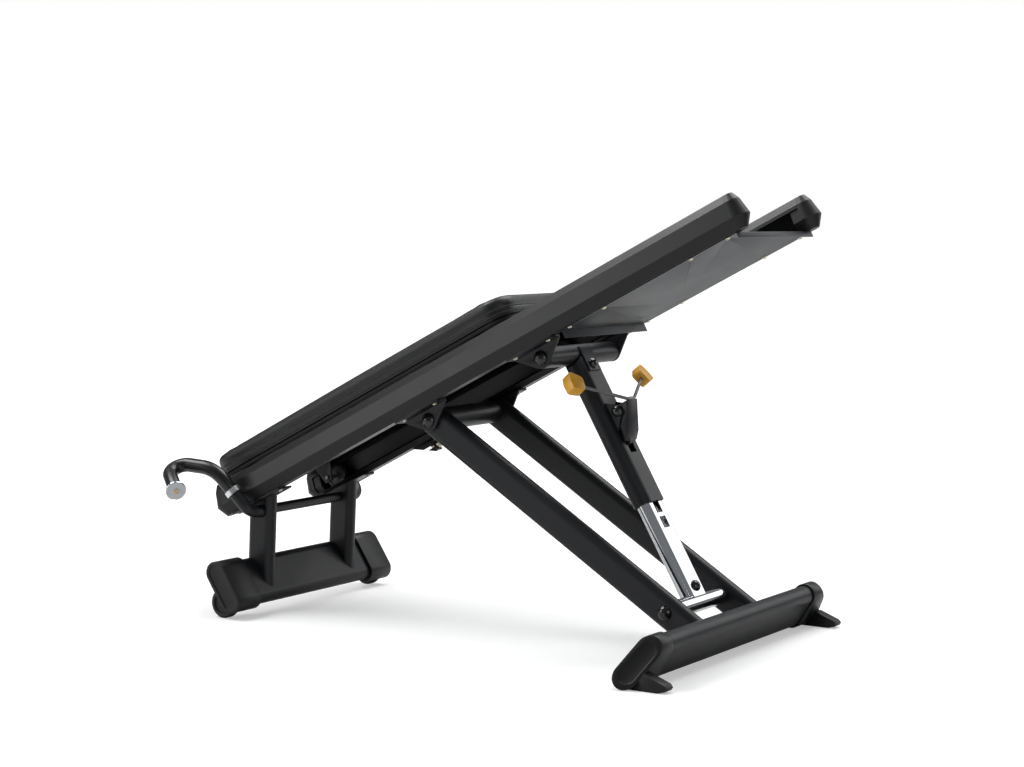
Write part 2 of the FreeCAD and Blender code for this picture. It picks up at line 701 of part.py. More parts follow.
def make_legs():
    """Flat-oval legs, rounded about their pivot, welded to the rear beam."""
    face = "rear_beam_along - rear_beam_radius"
    frame = LEG.multiply(Placement(Vector(0, -size("leg_centre"), 0), Rotation()))
    body = new_body("leg", frame)
    section = new_sketch(body, "YZ")
    draw_flat_oval(section, "leg_flat_half", "tube_radius", True)
    draw_flat_oval(section, "leg_flat_half", "tube_radius - tube_wall", True)
    add_pad(body, section, face)
    half = new_sketch(body, "YZ")
    flat, bend = "leg_flat_half", "tube_radius"
    draw_half_oval(half, flat, bend)
    turn = body.newObject("PartDesign::Revolution", "leg_round")
    turn.Profile = half
    turn.ReferenceAxis = (half, ["H_Axis"])
    turn.Angle = 180
    turn.Reversed = True
    body.Tip = turn
    bore = new_sketch(body, "XZ")
    draw_circle(bore, "pivot_radius + bush_wall")
    add_cut(body, bore)
    bolt = new_sketch(body, "XZ")
    draw_circle(bolt, "pivot_radius", "leg_length")
    add_cut(body, bolt)
    pair("leg", body)


def draw_half_oval(sketch, flat_half, radius):
    """The upper half of an upright flat oval, closed along the sketch's x axis."""
    flat, bend = size(flat_half), size(radius)
    base = sketch.addGeometry(Part.LineSegment(Vector(-bend, 0, 0), Vector(bend, 0, 0)))
    right = sketch.addGeometry(Part.LineSegment(Vector(bend, 0, 0), Vector(bend, flat, 0)))
    circle = Part.Circle(Vector(0, flat, 0), Vector(0, 0, 1), bend)
    arc = sketch.addGeometry(Part.ArcOfCircle(circle, 0, math.pi))
    left = sketch.addGeometry(Part.LineSegment(Vector(-bend, flat, 0), Vector(-bend, 0, 0)))
    sketch.addConstraint(Sketcher.Constraint("Coincident", base, 2, right, 1))
    sketch.addConstraint(Sketcher.Constraint("Tangent", right, 2, arc, 1))
    sketch.addConstraint(Sketcher.Constraint("Tangent", arc, 2, left, 1))
    sketch.addConstraint(Sketcher.Constraint("Coincident", left, 2, base, 1))
    pin_point(sketch, base, 1, f"-({radius})", "0")
    hold(sketch, Sketcher.Constraint("Radius", arc, bend), radius)
    pin_point(sketch, arc, 3, "0", flat_half)


def make_leg_cross_tube():
    """The tube between the legs, on the leg pivot's axis."""
    half = "(leg_centre - tube_radius)"
    start = across(LEG, 0, -size(half), 0)
    outside = cylinder("cross_tube_outside", "cross_tube_radius", f"2*{half}", start)
    inside = cylinder("cross_tube_inside", "cross_tube_radius - tube_wall", f"2*{half}", start)
    keep(cut_from("leg_cross_tube", outside, [inside]), "leg_cross_tube")


def make_foot_bolts():
    """Dome bolts through each leg at the column's foot; they stop short of the foot sleeve."""
    outer = size("leg_centre + tube_radius")
    bolt = dome_bolt(size("2*tube_radius") - 1.5, size("pivot_radius"))
    places = [across(LEG, size("leg_length"), side * outer, 0, -side) for side in SIDES.values()]
    group("foot_bolts", placed(bolt, places))


def make_rear_beam():
    """The wide flat-oval beam that the legs stand on."""
    beam = flat_oval_tube("rear_beam", REAR_BEAM, "XZ", "rear_beam_flat_half", "rear_beam_radius",
                          "tube_wall", "2*rear_beam_half", both_ways=True)
    keep(beam, "rear_beam")


def make_rear_caps():
    """End caps whose outer faces slope outwards towards the floor, and the feet under them."""
    body = new_body("rear_cap", REAR_BEAM)
    inner = "rear_beam_half - rear_cap_grip"
    sketch = new_sketch(body, "XZ", inner)
    draw_flat_oval(sketch, "rear_beam_flat_half", "rear_beam_radius + rear_cap_wall", True)
    add_pad(body, sketch, f"rear_cap_low + 5 - ({inner})")
    socket = new_sketch(body, "XZ", inner)
    draw_flat_oval(socket, "rear_beam_flat_half", "rear_beam_radius", True)
    add_cut(body, socket, "rear_cap_grip", both_ways=False, backwards=True)
    slope = new_sketch(body, "YZ")
    top = "(rear_beam_flat_half + rear_beam_radius + rear_cap_wall)"
    draw_polygon(slope, [
        ("-rear_cap_high + 4", f"{top} + 8"), ("-rear_cap_low - 4", f"-{top} - 8"),
        ("-rear_cap_low - 40", f"-{top} - 8"), ("-rear_cap_low - 40", f"{top} + 8")])
    add_cut(body, slope)
    lean = math.degrees(math.atan2(size("rear_cap_low - rear_cap_high"), 2 * size(top)))
    face = REAR_BEAM.multiply(Placement(
        Vector(0, -size("rear_cap_high + rear_cap_low")/2, 0), Rotation(Vector(1, 0, 0), -lean)))
    panel = flat_oval_tube("rear_cap_panel", face, "XZ", "rear_beam_flat_half",
                           "rear_beam_radius + rear_cap_wall - cap_rim", None, "2*cap_recess",
                           both_ways=True)
    pair("rear_cap", cut_from("rear_cap_finish", body, [panel]))
    centre = REAR_BEAM.Base.x - FLOOR.Base.x
    foot_frame = FLOOR.multiply(Placement(Vector(centre, -size("foot_centre"), 0), Rotation()))
    block = new_body("foot_block", foot_frame)
    profile = new_sketch(block, "XZ")
    draw_polygon(profile, [
        ("-30", "0"), ("foot_reach - 22", "0"), ("foot_reach - 4", "5"),
        ("foot_reach", "foot_toe_tall*0.6"), ("foot_reach - 6", "foot_toe_tall"),
        ("4", "foot_tall"), ("-30", "foot_tall")])
    add_pad(block, profile, "foot_wide", both_ways=True)
    solid_cap = new_body("cap_solid", REAR_BEAM)
    around = new_sketch(solid_cap, "XZ")
    draw_flat_oval(around, "rear_beam_flat_half", "rear_beam_radius + rear_cap_wall", True)
    add_pad(solid_cap, around, "3*rear_cap_low", both_ways=True)
    behind = box("foot_trim", "200", "400", "200", foot_frame.multiply(
        Placement(Vector(-222, -200, -20), Rotation(Vector(0, 1, 0), 0))))
    both_sides("rear_feet", cut_from("rear_foot", block, [solid_cap, behind]))


# ---------------------------------------------------------------- telescoping column

def make_column_cross_tube():
    """The tube that the column hangs from, between the column brackets."""
    half = "(bracket_face - 4)"
    start = across(COLUMN, 0, -size(half), 0)
    outside = cylinder("column_tube_outside", "column_tube_radius", f"2*{half}", start)
    bore = cylinder("column_tube_bore", "pivot_radius + bush_wall", f"2*{half}", start)
    keep(cut_from("column_cross_tube", outside, [bore]), "column_cross_tube")


def make_column_outer():
    """Outer column: a flat-oval tube, notched to its cross tube, with the latch window."""
    body = flat_oval_tube("column_tube", COLUMN, "YZ", "column_flat_half", "column_radius",
                          "tube_wall", "column_end - 5", start="5", upright=False)
    window = new_sketch(body, "XY", "column_radius/2")
    middle = "hole_start"
    half_long, half_wide = "hole_long/2 + 0.5", "hole_wide/2"
    draw_polygon(window, [
        (f"{middle} - ({half_long})", f"-{half_wide}"), (f"{middle} + ({half_long})", f"-{half_wide}"),
        (f"{middle} + ({half_long})", half_wide), (f"{middle} - ({half_long})", half_wide)])
    add_cut(body, window, both_ways=False, backwards=True)
    bolt = new_sketch(body, "XY")
    draw_circle(bolt, "screw_shank", "column_start + 12")
    add_cut(body, bolt)
    notch = cylinder("column_notch", "column_tube_radius + 4", "300",
                     across(COLUMN, 0, -150, 0))
    keep(cut_from("column_outer", body, [notch]), "column_outer")


def make_column_saddle():
    """A strap round the cross tube that the outer column is bolted to."""
    body = new_body("column_saddle", COLUMN)
    ring = new_sketch(body, "XZ")
    outside = "column_tube_radius + 4"
    draw_circle(ring, outside)
    draw_circle(ring, "column_tube_radius")
    add_pad(body, ring, "2*column_flat_half", both_ways=True)
    for side in ("", "-"):
        cheek = new_sketch(body, "XZ")
        draw_polygon(cheek, [
            ("0", f"{side}(column_tube_radius + 0.05)"),
            ("column_start + 30", f"{side}(column_tube_radius + 0.05)"),
            ("column_start + 30", f"{side}({outside})"), ("0", f"{side}({outside})")])
        add_pad(body, cheek, "2*column_flat_half", both_ways=True)
    crown = new_sketch(body, "XZ")
    draw_polygon(crown, [
        ("-column_tube_radius*2", "-column_tube_radius*2"), ("-10", "-column_tube_radius*2"),
        ("-10", "column_tube_radius*2"), ("-column_tube_radius*2", "column_tube_radius*2")])
    add_cut(body, crown)
    bolt = new_sketch(body, "XY")
    draw_circle(bolt, "screw_shank", "column_start + 12")
    add_cut(body, bolt)
    keep(body, "column_saddle")


def make_column_bolts():
    """Dome bolts: one through saddle and column, one above the foot sleeve."""
    place = upward(COLUMN, size("column_start + 12"), 0, size("column_tube_radius + 4"), -1)
    bolt = dome_bolt(5.0, size("screw_shank"), "small_dome")
    group("column_saddle_bolt", placed(bolt, [place]))
    low = upward(COLUMN, column_length - 38, 0, size("column_inner_radius"), -1)
    bolt = dome_bolt(2.5, size("screw_shank"), "small_dome")
    group("column_foot_bolt", placed(bolt, [low]))


def make_column_guide():
    """A plastic guide bush inside the lower end of the outer column."""
    guide = flat_oval_tube("column_guide", COLUMN, "YZ", "column_flat_half",
                           "column_radius - tube_wall", "4.35", "column_guide_long",
                           start="column_end - column_guide_long - 3", upright=False)
    keep(guide, "column_guide")


def make_column_inner():
    """Chromed inner column with a row of latch holes, coped to its foot sleeve."""
    long = f"{column_length} - inner_column_start"
    body = flat_oval_tube("inner_tube", COLUMN, "YZ", "column_flat_half", "column_inner_radius",
                          "tube_wall", long, start="inner_column_start", upright=False)
    holes = new_sketch(body, "XY", "column_inner_radius/2")
    for number in range(int(size("hole_count"))):
        middle = f"(hole_start + {number}*hole_pitch)"
        draw_polygon(holes, [
            (f"{middle} - hole_long/2", "-hole_wide/2"), (f"{middle} + hole_long/2", "-hole_wide/2"),
            (f"{middle} + hole_long/2", "hole_wide/2"), (f"{middle} - hole_long/2", "hole_wide/2")])
    add_cut(body, holes, both_ways=False, backwards=True)
    bolt = new_sketch(body, "XY", "column_inner_radius/2")
    draw_circle(bolt, "screw_shank", f"{column_length - 38}")
    add_cut(body, bolt, both_ways=False, backwards=True)
    cope = cylinder("sleeve_cope", "sleeve_radius", "300", across(COLUMN, column_length, -150, 0))
    keep(cut_from("column_inner", body, [cope]), "column_inner")
    start = across(COLUMN, column_length, -size("sleeve_half"), 0)
    outside = cylinder("sleeve_outside", "sleeve_radius", "2*sleeve_half", start)
    bore = cylinder("sleeve_bore", "pivot_radius + bush_wall", "2*sleeve_half", start)
    keep(cut_from("foot_sleeve", outside, [bore]), "foot_sleeve")


# ---------------------------------------------------------------- incline latch

def make_latch_bracket():
    """Two ears on the outer column that carry the latch's pivot pin."""
    ears = []
    pivot = ("latch_pivot_along", "latch_pivot_out")
    for side in ("-", ""):
        body = new_body(f"latch_ear_{'right' if side else 'left'}", COLUMN)
        inner = f"{side}(latch_wide/2 + 0.6)"
        sketch = new_sketch(body, "XZ", inner)
        draw_polygon(sketch, [
            (f"{pivot[0]} - 34", "column_radius*0.9"), (f"{pivot[0]} + 44", "column_radius*0.9"),
            (f"{pivot[0]} + 14", f"{pivot[1]} + 6"), (f"{pivot[0]} - 14", f"{pivot[1]} + 6")])
        ears.append(body)
        pad = add_pad(body, sketch, "latch_sheet")
        pad.Reversed = side == "-"
        lobe = new_sketch(body, "XZ", inner)
        draw_circle(lobe, "15", *pivot)
        pad = add_pad(body, lobe, "latch_sheet")
        pad.Reversed = side == "-"
        bore = new_sketch(body, "XZ")
        draw_circle(bore, "latch_pin_radius", *pivot)
        add_cut(body, bore)
    core = flat_oval_tube("latch_core", COLUMN, "YZ", "column_flat_half", "column_radius", None,
                          "column_end", upright=False)
    trimmed = [cut_from(ear.Name + "_trim", ear, [core]) for ear in ears]
    bracket = doc.addObject("Part::Compound", "latch_bracket")
    bracket.Links = trimmed
    keep(bracket, "latch_bracket")


def make_latch_pin():
    """The pin that the latch lever turns on, with a domed head on the right."""
    half = size("latch_wide/2 + 0.6 + latch_sheet")
    pin = dome_bolt(2 * half, size("latch_pin_radius"), "small_dome")
    place = across(COLUMN, size("latch_pivot_along"), -half, size("latch_pivot_out"))
    group("latch_pin", placed(pin, [place]))


def make_latch_lever():
    """A folded channel: front plate, two side flanges, and a nose that enters the window."""
    along, out = "latch_pivot_along", "latch_pivot_out"
    body = new_body("latch_lever", COLUMN)
    outline = [
        (f"{along} - 12", f"{out} + 36"), (f"{along} + 56", f"{out} + 3"),
        ("hole_start - 12", "column_radius + 8"), ("hole_start - 12", "column_radius + 1.5"),
        (f"{along} + 34", f"{out} - 12"), (f"{along} - 12", f"{out} - 8")]
    sketch = new_sketch(body, "XZ")
    draw_polygon(sketch, outline)
    add_pad(body, sketch, "latch_wide", both_ways=True)
    hollow = new_sketch(body, "XZ")
    draw_polygon(hollow, [
        (f"{along} - 8", f"{out} + 30"), (f"{along} + 50", f"{out} + 1"),
        (f"{along} + 60", "column_radius - 20"), (f"{along} - 40", "column_radius - 20"),
        (f"{along} - 8", f"{out} - 20")])
    add_cut(body, hollow, "latch_wide - 2*latch_sheet")
    nose = new_sketch(body, "XZ")
    draw_polygon(nose, [
        (f"{along} + 46", f"{out} + 6"), ("hole_start - 6", "column_radius + 6"),
        ("hole_start - 4", "column_inner_radius + 0.6"),
        ("hole_start - 12", "column_inner_radius + 0.6"),
        ("hole_start - 15", "column_radius + 3"), (f"{along} + 46", f"{out} - 2")])
    add_pad(body, nose, "nose_wide", both_ways=True)
    bore = new_sketch(body, "XZ")
    draw_circle(bore, "latch_pin_radius + running_gap", along, out)
    add_cut(body, bore)
    keep(body, "latch_lever")


def paddle_place():
    """The right paddle's centre in the column frame."""
    return Vector(size("paddle_along"), -size("paddle_out"), size("paddle_off"))


def rod_root():
    """Where the release rods leave the lever's top, in the column frame."""
    return Vector(size("latch_pivot_along") - 16, 0, size("latch_pivot_out") + 34)


def make_release_rods():
    """A bent rod across the lever's top that carries both paddles."""
    root = rod_root()
    ends = [paddle_place(), paddle_place()]
    ends[1].y = -ends[1].y
    shoulder = size("latch_wide/2") - 8
    inside = [root + Vector(0, -shoulder, 0), root + Vector(0, shoulder, 0)]
    rod = round_bar([ends[0], inside[0], inside[1], ends[1]], [12, 12], size("rod_radius"))
    rod.Placement = COLUMN
    feature = doc.addObject("Part::Feature", "release_rods")
    feature.Shape = rod
    keep(feature, "release_rods")


def make_paddles():
    """Rounded wedges on the rods' ends, bored for the rod."""
    inward = (rod_root() + Vector(0, -size("latch_wide/2") + 8, 0) - paddle_place()).normalize()
    turn = Rotation(Vector(1, 0, 0), inward)
    frame = COLUMN.multiply(Placement(paddle_place(), turn))
    body = new_body("paddle", frame)
    sketch = new_sketch(body, "XY")
    draw_polygon(sketch, [
        ("-20", "-22"), ("-14", "-25"), ("16", "-20"), ("20", "-14"), ("20", "14"), ("16", "20"),
        ("-14", "25"), ("-20", "22"), ("-24", "0")])
    add_pad(body, sketch, "27", both_ways=True)
    bore = new_sketch(body, "YZ")
    draw_circle(bore, "rod_radius")
    add_cut(body, bore, "60", both_ways=False, backwards=True)
    pair("paddle", body)


# ---------------------------------------------------------------- front stand

def make_stand():
    """Posts, saddles, cross bar and leaning beam of the front stand."""
    core = flat_oval_tube("stand_core", STAND_BEAM, "XZ", "stand_beam_flat_half",
                          "stand_beam_radius", None, "2*stand_beam_half", both_ways=True)
    beam = flat_oval_tube("stand_beam", STAND_BEAM, "XZ", "stand_beam_flat_half",
                          "stand_beam_radius", "tube_wall", "2*stand_beam_half", both_ways=True)
    keep(beam, "stand_beam")
    frame = POST_TOP.multiply(Placement(Vector(0, -size("post_centre"), 0), Rotation()))
    body = new_body("post", frame)
    section = new_sketch(body, "XY", "-rail_origin_height")
    draw_flat_oval(section, "post_flat_half", "post_radius", False)
    draw_flat_oval(section, "post_flat_half", "post_radius - tube_wall", False)
    add_pad(body, section, "2*rail_origin_height")
    roof = box("post_roof", "600", "600", "400", RAIL.multiply(
        Placement(Vector(size("rail_low_end") - 100, -400, -size("plate")), Rotation())))
    behind = box("post_behind", "600", "600", "400", STAND_BEAM.multiply(
        Placement(Vector(-600, -400, -200), Rotation())))
    foot = size("stand_beam_height - stand_beam_flat_half*cos(stand_beam_lean*1deg)")
    below = box("post_below", "600", "600", "400", FLOOR.multiply(
        Placement(Vector(-400, -400, foot - 400), Rotation())))
    bar_start = across(FLOOR, size("post_x") - 3, -size("post_centre"), size("cross_bar_height"))
    bar = cylinder("bar_core", "cross_bar_radius", "2*post_centre", bar_start)
    post = cut_from("stand_post", body, [roof, behind, below, core])
    pair("stand_post", post)
    posts = []
    for side in SIDES:
        solid = flat_oval_tube(f"post_core_{side}", POST_TOP.multiply(Placement(
            Vector(0, SIDES[side] * size("post_centre"), 0), Rotation())), "XY",
            "post_flat_half", "post_radius", None, "2*rail_origin_height",
            start="-rail_origin_height", upright=False)
        posts.append(solid)
    keep(cut_from("stand_cross_bar", bar, posts), "stand_cross_bar")


def make_saddles():
    """Flat plates that the posts are welded to, screwed under the rails."""
    body = new_body("saddle", RAIL)
    low, high = f"{saddle_middle} - saddle_half", f"{saddle_middle} + saddle_half"
    inner = "-post_centre + post_radius"
    outer = "-rail_gauge/2 - rail_floor_half - 3"
    flange = new_sketch(body, "XY", "-plate")
    draw_polygon(flange, [(low, inner), (low, outer), (high, outer), (high, inner)])
    add_pad(body, flange, "plate")
    holes = new_sketch(body, "XY")
    for along in saddle_screw_places():
        draw_circle(holes, "screw_hole", along, "-rail_gauge/2")
    add_cut(body, holes)
    both_sides("post_saddles", body)


def make_frame_screws():
    """Every button-head screw under the rails, one piece of many solids."""
    solids = []
    sets = (("sheet_gauge", panel_screw_places()),
            ("plate", bracket_screw_places() + saddle_screw_places()))
    for thickness, spots in sets:
        plate = size(thickness)
        places = [upward(RAIL, size(along), side * size("rail_gauge/2"), -plate)
                  for along in spots for side in SIDES.values()]
        solids += placed(button_screw(plate), places)
    group("frame_screws", solids)


# ---------------------------------------------------------------- wheels and their covers

def make_wheels():
    """Covers over the front beam's ends, with a transport wheel low in each."""
    body = new_body("wheel_cover", STAND_BEAM)
    sketch = new_sketch(body, "XZ", "cover_inner")
    section = ("stand_beam_flat_half", "stand_beam_radius + cover_wall")
    draw_flat_oval(sketch, *section, True)
    add_pad(body, sketch, "cover_outer - cover_inner")
    axle = (size("wheel_x"), size("wheel_radius"))
    centre = STAND_BEAM.inverse().multVec(FLOOR.multVec(Vector(axle[0], 0, axle[1])))
    boss = new_sketch(body, "XZ", "cover_inner + cap_rim")
    draw_circle(boss, "axle_boss", f"{centre.x}", f"{centre.z}")
    add_pad(body, boss, "cover_outer - cover_inner - 2*cap_rim")
    panel = new_sketch(body, "XZ", "cover_outer - cap_recess")
    draw_flat_oval(panel, section[0], f"{section[1]} - cap_rim", True)
    add_cut(body, panel, "2*cap_recess", both_ways=False, backwards=True)
    core = flat_oval_tube("cover_core", STAND_BEAM, "XZ", "stand_beam_flat_half",
                          "stand_beam_radius", None, "2*stand_beam_half", both_ways=True)
    well_start = -size("wheel_centre + wheel_wide/2 + wheel_gap")
    well = cylinder("wheel_well", "wheel_radius + wheel_gap", "wheel_wide + 2*wheel_gap",
                    across(FLOOR, axle[0], well_start, axle[1]))
    inner_end = size("cover_inner + 2*cap_rim")
    bore = cylinder("axle_bore", "axle_radius", "cover_outer - cover_inner - 4*cap_rim",
                    across(FLOOR, axle[0], -inner_end, axle[1], -1))
    pair("wheel_cover", cut_from("wheel_cover", body, [core, well, bore]))
    for side, sign in SIDES.items():
        tyre = turned_shape(wheel_outline())
        feature = doc.addObject("Part::Feature", f"wheel_{side}")
        feature.Shape = tyre
        feature.Placement = across(FLOOR, axle[0], sign * size("wheel_centre"), axle[1])
        keep(feature, f"wheel_{side}")
    pin = Part.makeCylinder(size("axle_radius"), size("cover_outer - cover_inner - 4*cap_rim"))
    places = [across(FLOOR, axle[0], sign * inner_end, axle[1], sign) for sign in SIDES.values()]
    group("wheel_axles", placed(pin, places))


def wheel_outline():
    """Half section of a wheel about its axle: bore, hub, web and rounded tread."""
    bore = size("axle_radius + running_gap")
    half, rim = size("wheel_wide/2"), size("wheel_radius")
    shoulder = 5.0
    return [
        (bore, -half), (bore + 7, -half), (bore + 9, -half + 5), (rim - 13, -half + 5),
        (rim - 11, -half), (rim - shoulder, -half), (rim, -half + shoulder),
        (rim, half - shoulder), (rim - shoulder, half), (rim - 11, half),
        (rim - 13, half - 5), (bore + 9, half - 5), (bore + 7, half), (bore, half)]


# ---------------------------------------------------------------- press handles

def handle_points():
    """Corners of the right handle's route from the floor frame's origin."""
    post = Vector(0, -size("post_centre"), 0)
    root = post + Vector(size("post_x") + 6, -size("post_radius") + 1, size("handle_root_height"))
    return [
        root,
        root + Vector(-4, -44, 4),
        post + Vector(-256, -92, 374),
        post + Vector(-408, -109, 384),
        post + Vector(-298, -196, 326),
    ]


def make_handles():
    """Bent tubes welded to the posts, with a rubber grip, a clamp collar and an end disc."""
    points = handle_points()
    bends = [32.0, 88.0, 34.0]
    posts = [flat_oval_tube("post_core_handle", POST_TOP.multiply(Placement(
        Vector(0, -size("post_centre"), 0), Rotation())), "XY", "post_flat_half", "post_radius",
        None, "2*rail_origin_height", start="-rail_origin_height", upright=False)]
    tube = doc.addObject("Part::Feature", "handle_tube_solid")
    tube.Shape = round_bar(points, bends, size("handle_radius"))
    tube.Placement = FLOOR
    pair("handle_tube", cut_from("handle_tube", tube, posts))
    climb = points[2] - points[1]
    collar_long = size("collar_long")
    collar_at = points[1] + climb * 0.42
    grip_start = collar_at + (climb * 1).normalize() * collar_long
    route = [grip_start] + points[2:]
    outer = round_bar(route, bends[1:], size("grip_radius"))
    inner = round_bar(route, bends[1:], size("handle_radius"))
    grip = doc.addObject("Part::Feature", "grip_right")
    grip.Shape = outer.cut(inner)
    grip.Placement = FLOOR
    pair("grip", grip)
    heading = climb.normalize()
    ring = Part.makeCylinder(size("grip_radius") + 2.5, collar_long, Vector(), Vector(0, 0, 1))
    ring = ring.cut(Part.makeCylinder(size("handle_radius"), collar_long))
    collar = doc.addObject("Part::Feature", "collar_right")
    collar.Shape = ring
    collar.Placement = FLOOR.multiply(Placement(collar_at, Rotation(Vector(0, 0, 1), heading)))
    last = (points[-1] - points[-2]).normalize()
    rim, thick, chamfer, screw = size("disc_radius"), 6.0, 1.0, 6.0
    disc_shape = turned_shape([
        (0, 0), (rim - chamfer, 0), (rim, chamfer), (rim, thick - chamfer), (rim - chamfer, thick),
        (screw + 1, thick), (screw, thick + 2.5), (0, thick + 2.5)])
    disc = doc.addObject("Part::Feature", "disc_right")
    disc.Shape = disc_shape
    disc.Placement = FLOOR.multiply(Placement(points[-1], Rotation(Vector(0, 0, 1), last)))
    both_sides("grip_collars", collar)
    both_sides("grip_end_discs", disc)


# ---------------------------------------------------------------- glideboard

def make_glideboard():
    """Pad, board, carriers and axles; the rollers run inside the rails."""
    length, start = "glide_length", "glide_low"
    for label, low, thick, inset in (
            ("pad_board", "board_height", "board_thick", "6"),
            ("pad", "board_height + board_thick", "pad_thick", "0")):
        body = new_body(label, RAIL)
        sketch = new_sketch(body, "XY", low)
        half = f"(glide_half_width - {inset})"
        draw_polygon(sketch, [
            (f"{start} + {inset}", f"-{half}"), (f"{start} + {length} - {inset}", f"-{half}"),
            (f"{start} + {length} - {inset}", half), (f"{start} + {inset}", half)])
        add_pad(body, sketch, thick)
        round_edges(body, RAIL.Rotation.multVec(Vector(0, 0, 1)), "pad_corner")
        keep(body, label)
    gauge = size("rail_gauge/2")
    high = size("rail_wall + roller_float + roller_radius")
    hanger = size("hanger_face")
    carriers = []
    for along in ("roller_low", "roller_high"):
        body = new_body(f"carrier_{along}", RAIL)
        bar = new_sketch(body, "XZ")
        draw_polygon(bar, [
            (f"{along} - 30", "board_height - 14"), (f"{along} + 30", "board_height - 14"),
            (f"{along} + 30", "board_height"), (f"{along} - 30", "board_height")])
        add_pad(body, bar, "2*hanger_face", both_ways=True)
        for side in ("", "-"):
            plate = new_sketch(body, "XZ", f"{side}hanger_face")
            draw_polygon(plate, [
                (f"{along} - 30", "board_height - 13"), (f"{along} - 12", f"{high - 12}"),
                (f"{along} + 12", f"{high - 12}"), (f"{along} + 30", "board_height - 13")])
            pad = add_pad(body, plate, "plate")
            pad.Reversed = side == ""
        bore = new_sketch(body, "XZ")
        draw_circle(bore, "axle_radius", along, f"{high}")
        add_cut(body, bore)
        carriers.append(body)
    both = doc.addObject("Part::Compound", "carriers")
    both.Links = carriers
    keep(both, "carriers")
    reach = gauge + size("roller_wide/2") - (hanger - 10)
    spots = [(size(along), side) for along in ("roller_low", "roller_high")
             for side in SIDES.values()]
    places = [across(RAIL, along, side * (hanger - 10), high, side) for along, side in spots]
    group("roller_axles", placed(Part.makeCylinder(size("axle_radius"), reach), places))
    bore, half, rim = size("axle_radius + running_gap"), size("roller_wide/2"), size("roller_radius")
    outline = [
        (bore, -half), (bore + 8, -half), (bore + 9, -half + 3), (rim - 9, -half + 3),
        (rim - 8, -half), (rim - 2, -half), (rim, -half + 2), (rim, half - 2), (rim - 2, half),
        (rim - 8, half), (rim - 9, half - 3), (bore + 9, half - 3), (bore + 8, half), (bore, half)]
    for (along, side), name in zip(spots, ("low_right", "low_left", "high_right", "high_left")):
        roller = doc.addObject("Part::Feature", f"roller_{name}")
        roller.Shape = turned_shape(outline)
        roller.Placement = across(RAIL, along, side * gauge, high)
        keep(roller, f"roller_{name}")


# ---------------------------------------------------------------- accessory bracket

def make_accessory_bracket():
    """A small gusset under the left rail that holds a short clamp bolt."""
    body = new_body("accessory_bracket", RAIL)
    gauge = "rail_gauge/2"
    web = new_sketch(body, "XZ", f"-{gauge}")
    draw_polygon(web, [("52", "0"), ("120", "-36"), ("132", "-36"), ("132", "0")])
    pad = add_pad(body, web, "4", both_ways=True)
    end = new_sketch(body, "YZ", "128")
    draw_polygon(end, [
        (f"{gauge} - 13", "-36"), (f"{gauge} + 13", "-36"), (f"{gauge} + 13", "0"),
        (f"{gauge} - 13", "0")])
    add_pad(body, end, "4")
    bore = new_sketch(body, "YZ")
    draw_circle(bore, "4", gauge, "-20")
    add_cut(body, bore)
    keep(body, "accessory_bracket")
    bolt = turned_shape([
        (0, -20), (4, -20), (4, 0), (9, 0), (9, 3), (11, 3), (11, 12), (8, 14), (8, 20), (0, 20)])
    place = RAIL.multiply(Placement(Vector(132, size(gauge), -20), Rotation(Vector(0, 1, 0), 90)))
    group("accessory_bolt", placed(bolt, [place]))


# ---------------------------------------------------------------- build and write

make_rails()
make_end_caps()
make_panel()
make_pivot_brackets()
make_pivot_bolts()
make_bushes()
make_legs()
make_leg_cross_tube()
make_foot_bolts()
make_rear_beam()
make_rear_caps()
make_column_cross_tube()
make_column_outer()
make_column_saddle()
make_column_bolts()
make_column_guide()
make_column_inner()
make_latch_bracket()
make_latch_pin()
make_latch_lever()
make_release_rods()
make_paddles()
make_stand()
make_saddles()
make_frame_screws()
make_wheels()
make_handles()
make_glideboard()
make_accessory_bracket()
doc.recompute()

faults = [f"{thing.Name}: {thing.State}" for thing in doc.Objects
          if "Invalid" in thing.State or "Error" in thing.State]
for thing in PARTS:
    if thing.Shape.isNull() or not thing.Shape.isValid():
        faults.append(f"{thing.Label}: no valid shape")
if faults:
    raise RuntimeError("; ".join(faults))

os.makedirs("parts", exist_ok=True)
for thing in PARTS:
    thing.Shape.exportStep(f"parts/{thing.Label}.step")
print(f"{len(PARTS)} pieces written")
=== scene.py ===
"""Dresses the incline press bench: finishes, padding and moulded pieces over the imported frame."""
import json
import logging
import math
from dataclasses import dataclass
from enum import Enum
from typing import Callable, Optional, Sequence

import bpy
import numpy as np
from mathutils import Matrix, Vector


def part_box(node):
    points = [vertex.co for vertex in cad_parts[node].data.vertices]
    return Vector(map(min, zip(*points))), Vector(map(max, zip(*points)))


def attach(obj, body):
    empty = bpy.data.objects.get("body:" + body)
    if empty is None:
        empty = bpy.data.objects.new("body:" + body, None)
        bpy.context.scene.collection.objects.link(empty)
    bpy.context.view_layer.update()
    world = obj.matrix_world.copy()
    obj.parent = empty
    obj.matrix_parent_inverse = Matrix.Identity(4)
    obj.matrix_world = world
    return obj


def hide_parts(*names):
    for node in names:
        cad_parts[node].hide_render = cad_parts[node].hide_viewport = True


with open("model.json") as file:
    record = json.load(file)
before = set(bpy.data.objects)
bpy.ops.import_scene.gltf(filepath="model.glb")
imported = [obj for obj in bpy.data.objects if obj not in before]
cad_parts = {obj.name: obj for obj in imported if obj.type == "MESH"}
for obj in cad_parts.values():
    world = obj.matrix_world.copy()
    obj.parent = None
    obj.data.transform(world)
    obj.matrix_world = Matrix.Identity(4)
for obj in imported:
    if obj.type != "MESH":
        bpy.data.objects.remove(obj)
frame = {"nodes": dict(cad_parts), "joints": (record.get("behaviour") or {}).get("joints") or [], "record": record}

LOG = logging.getLogger("bench")
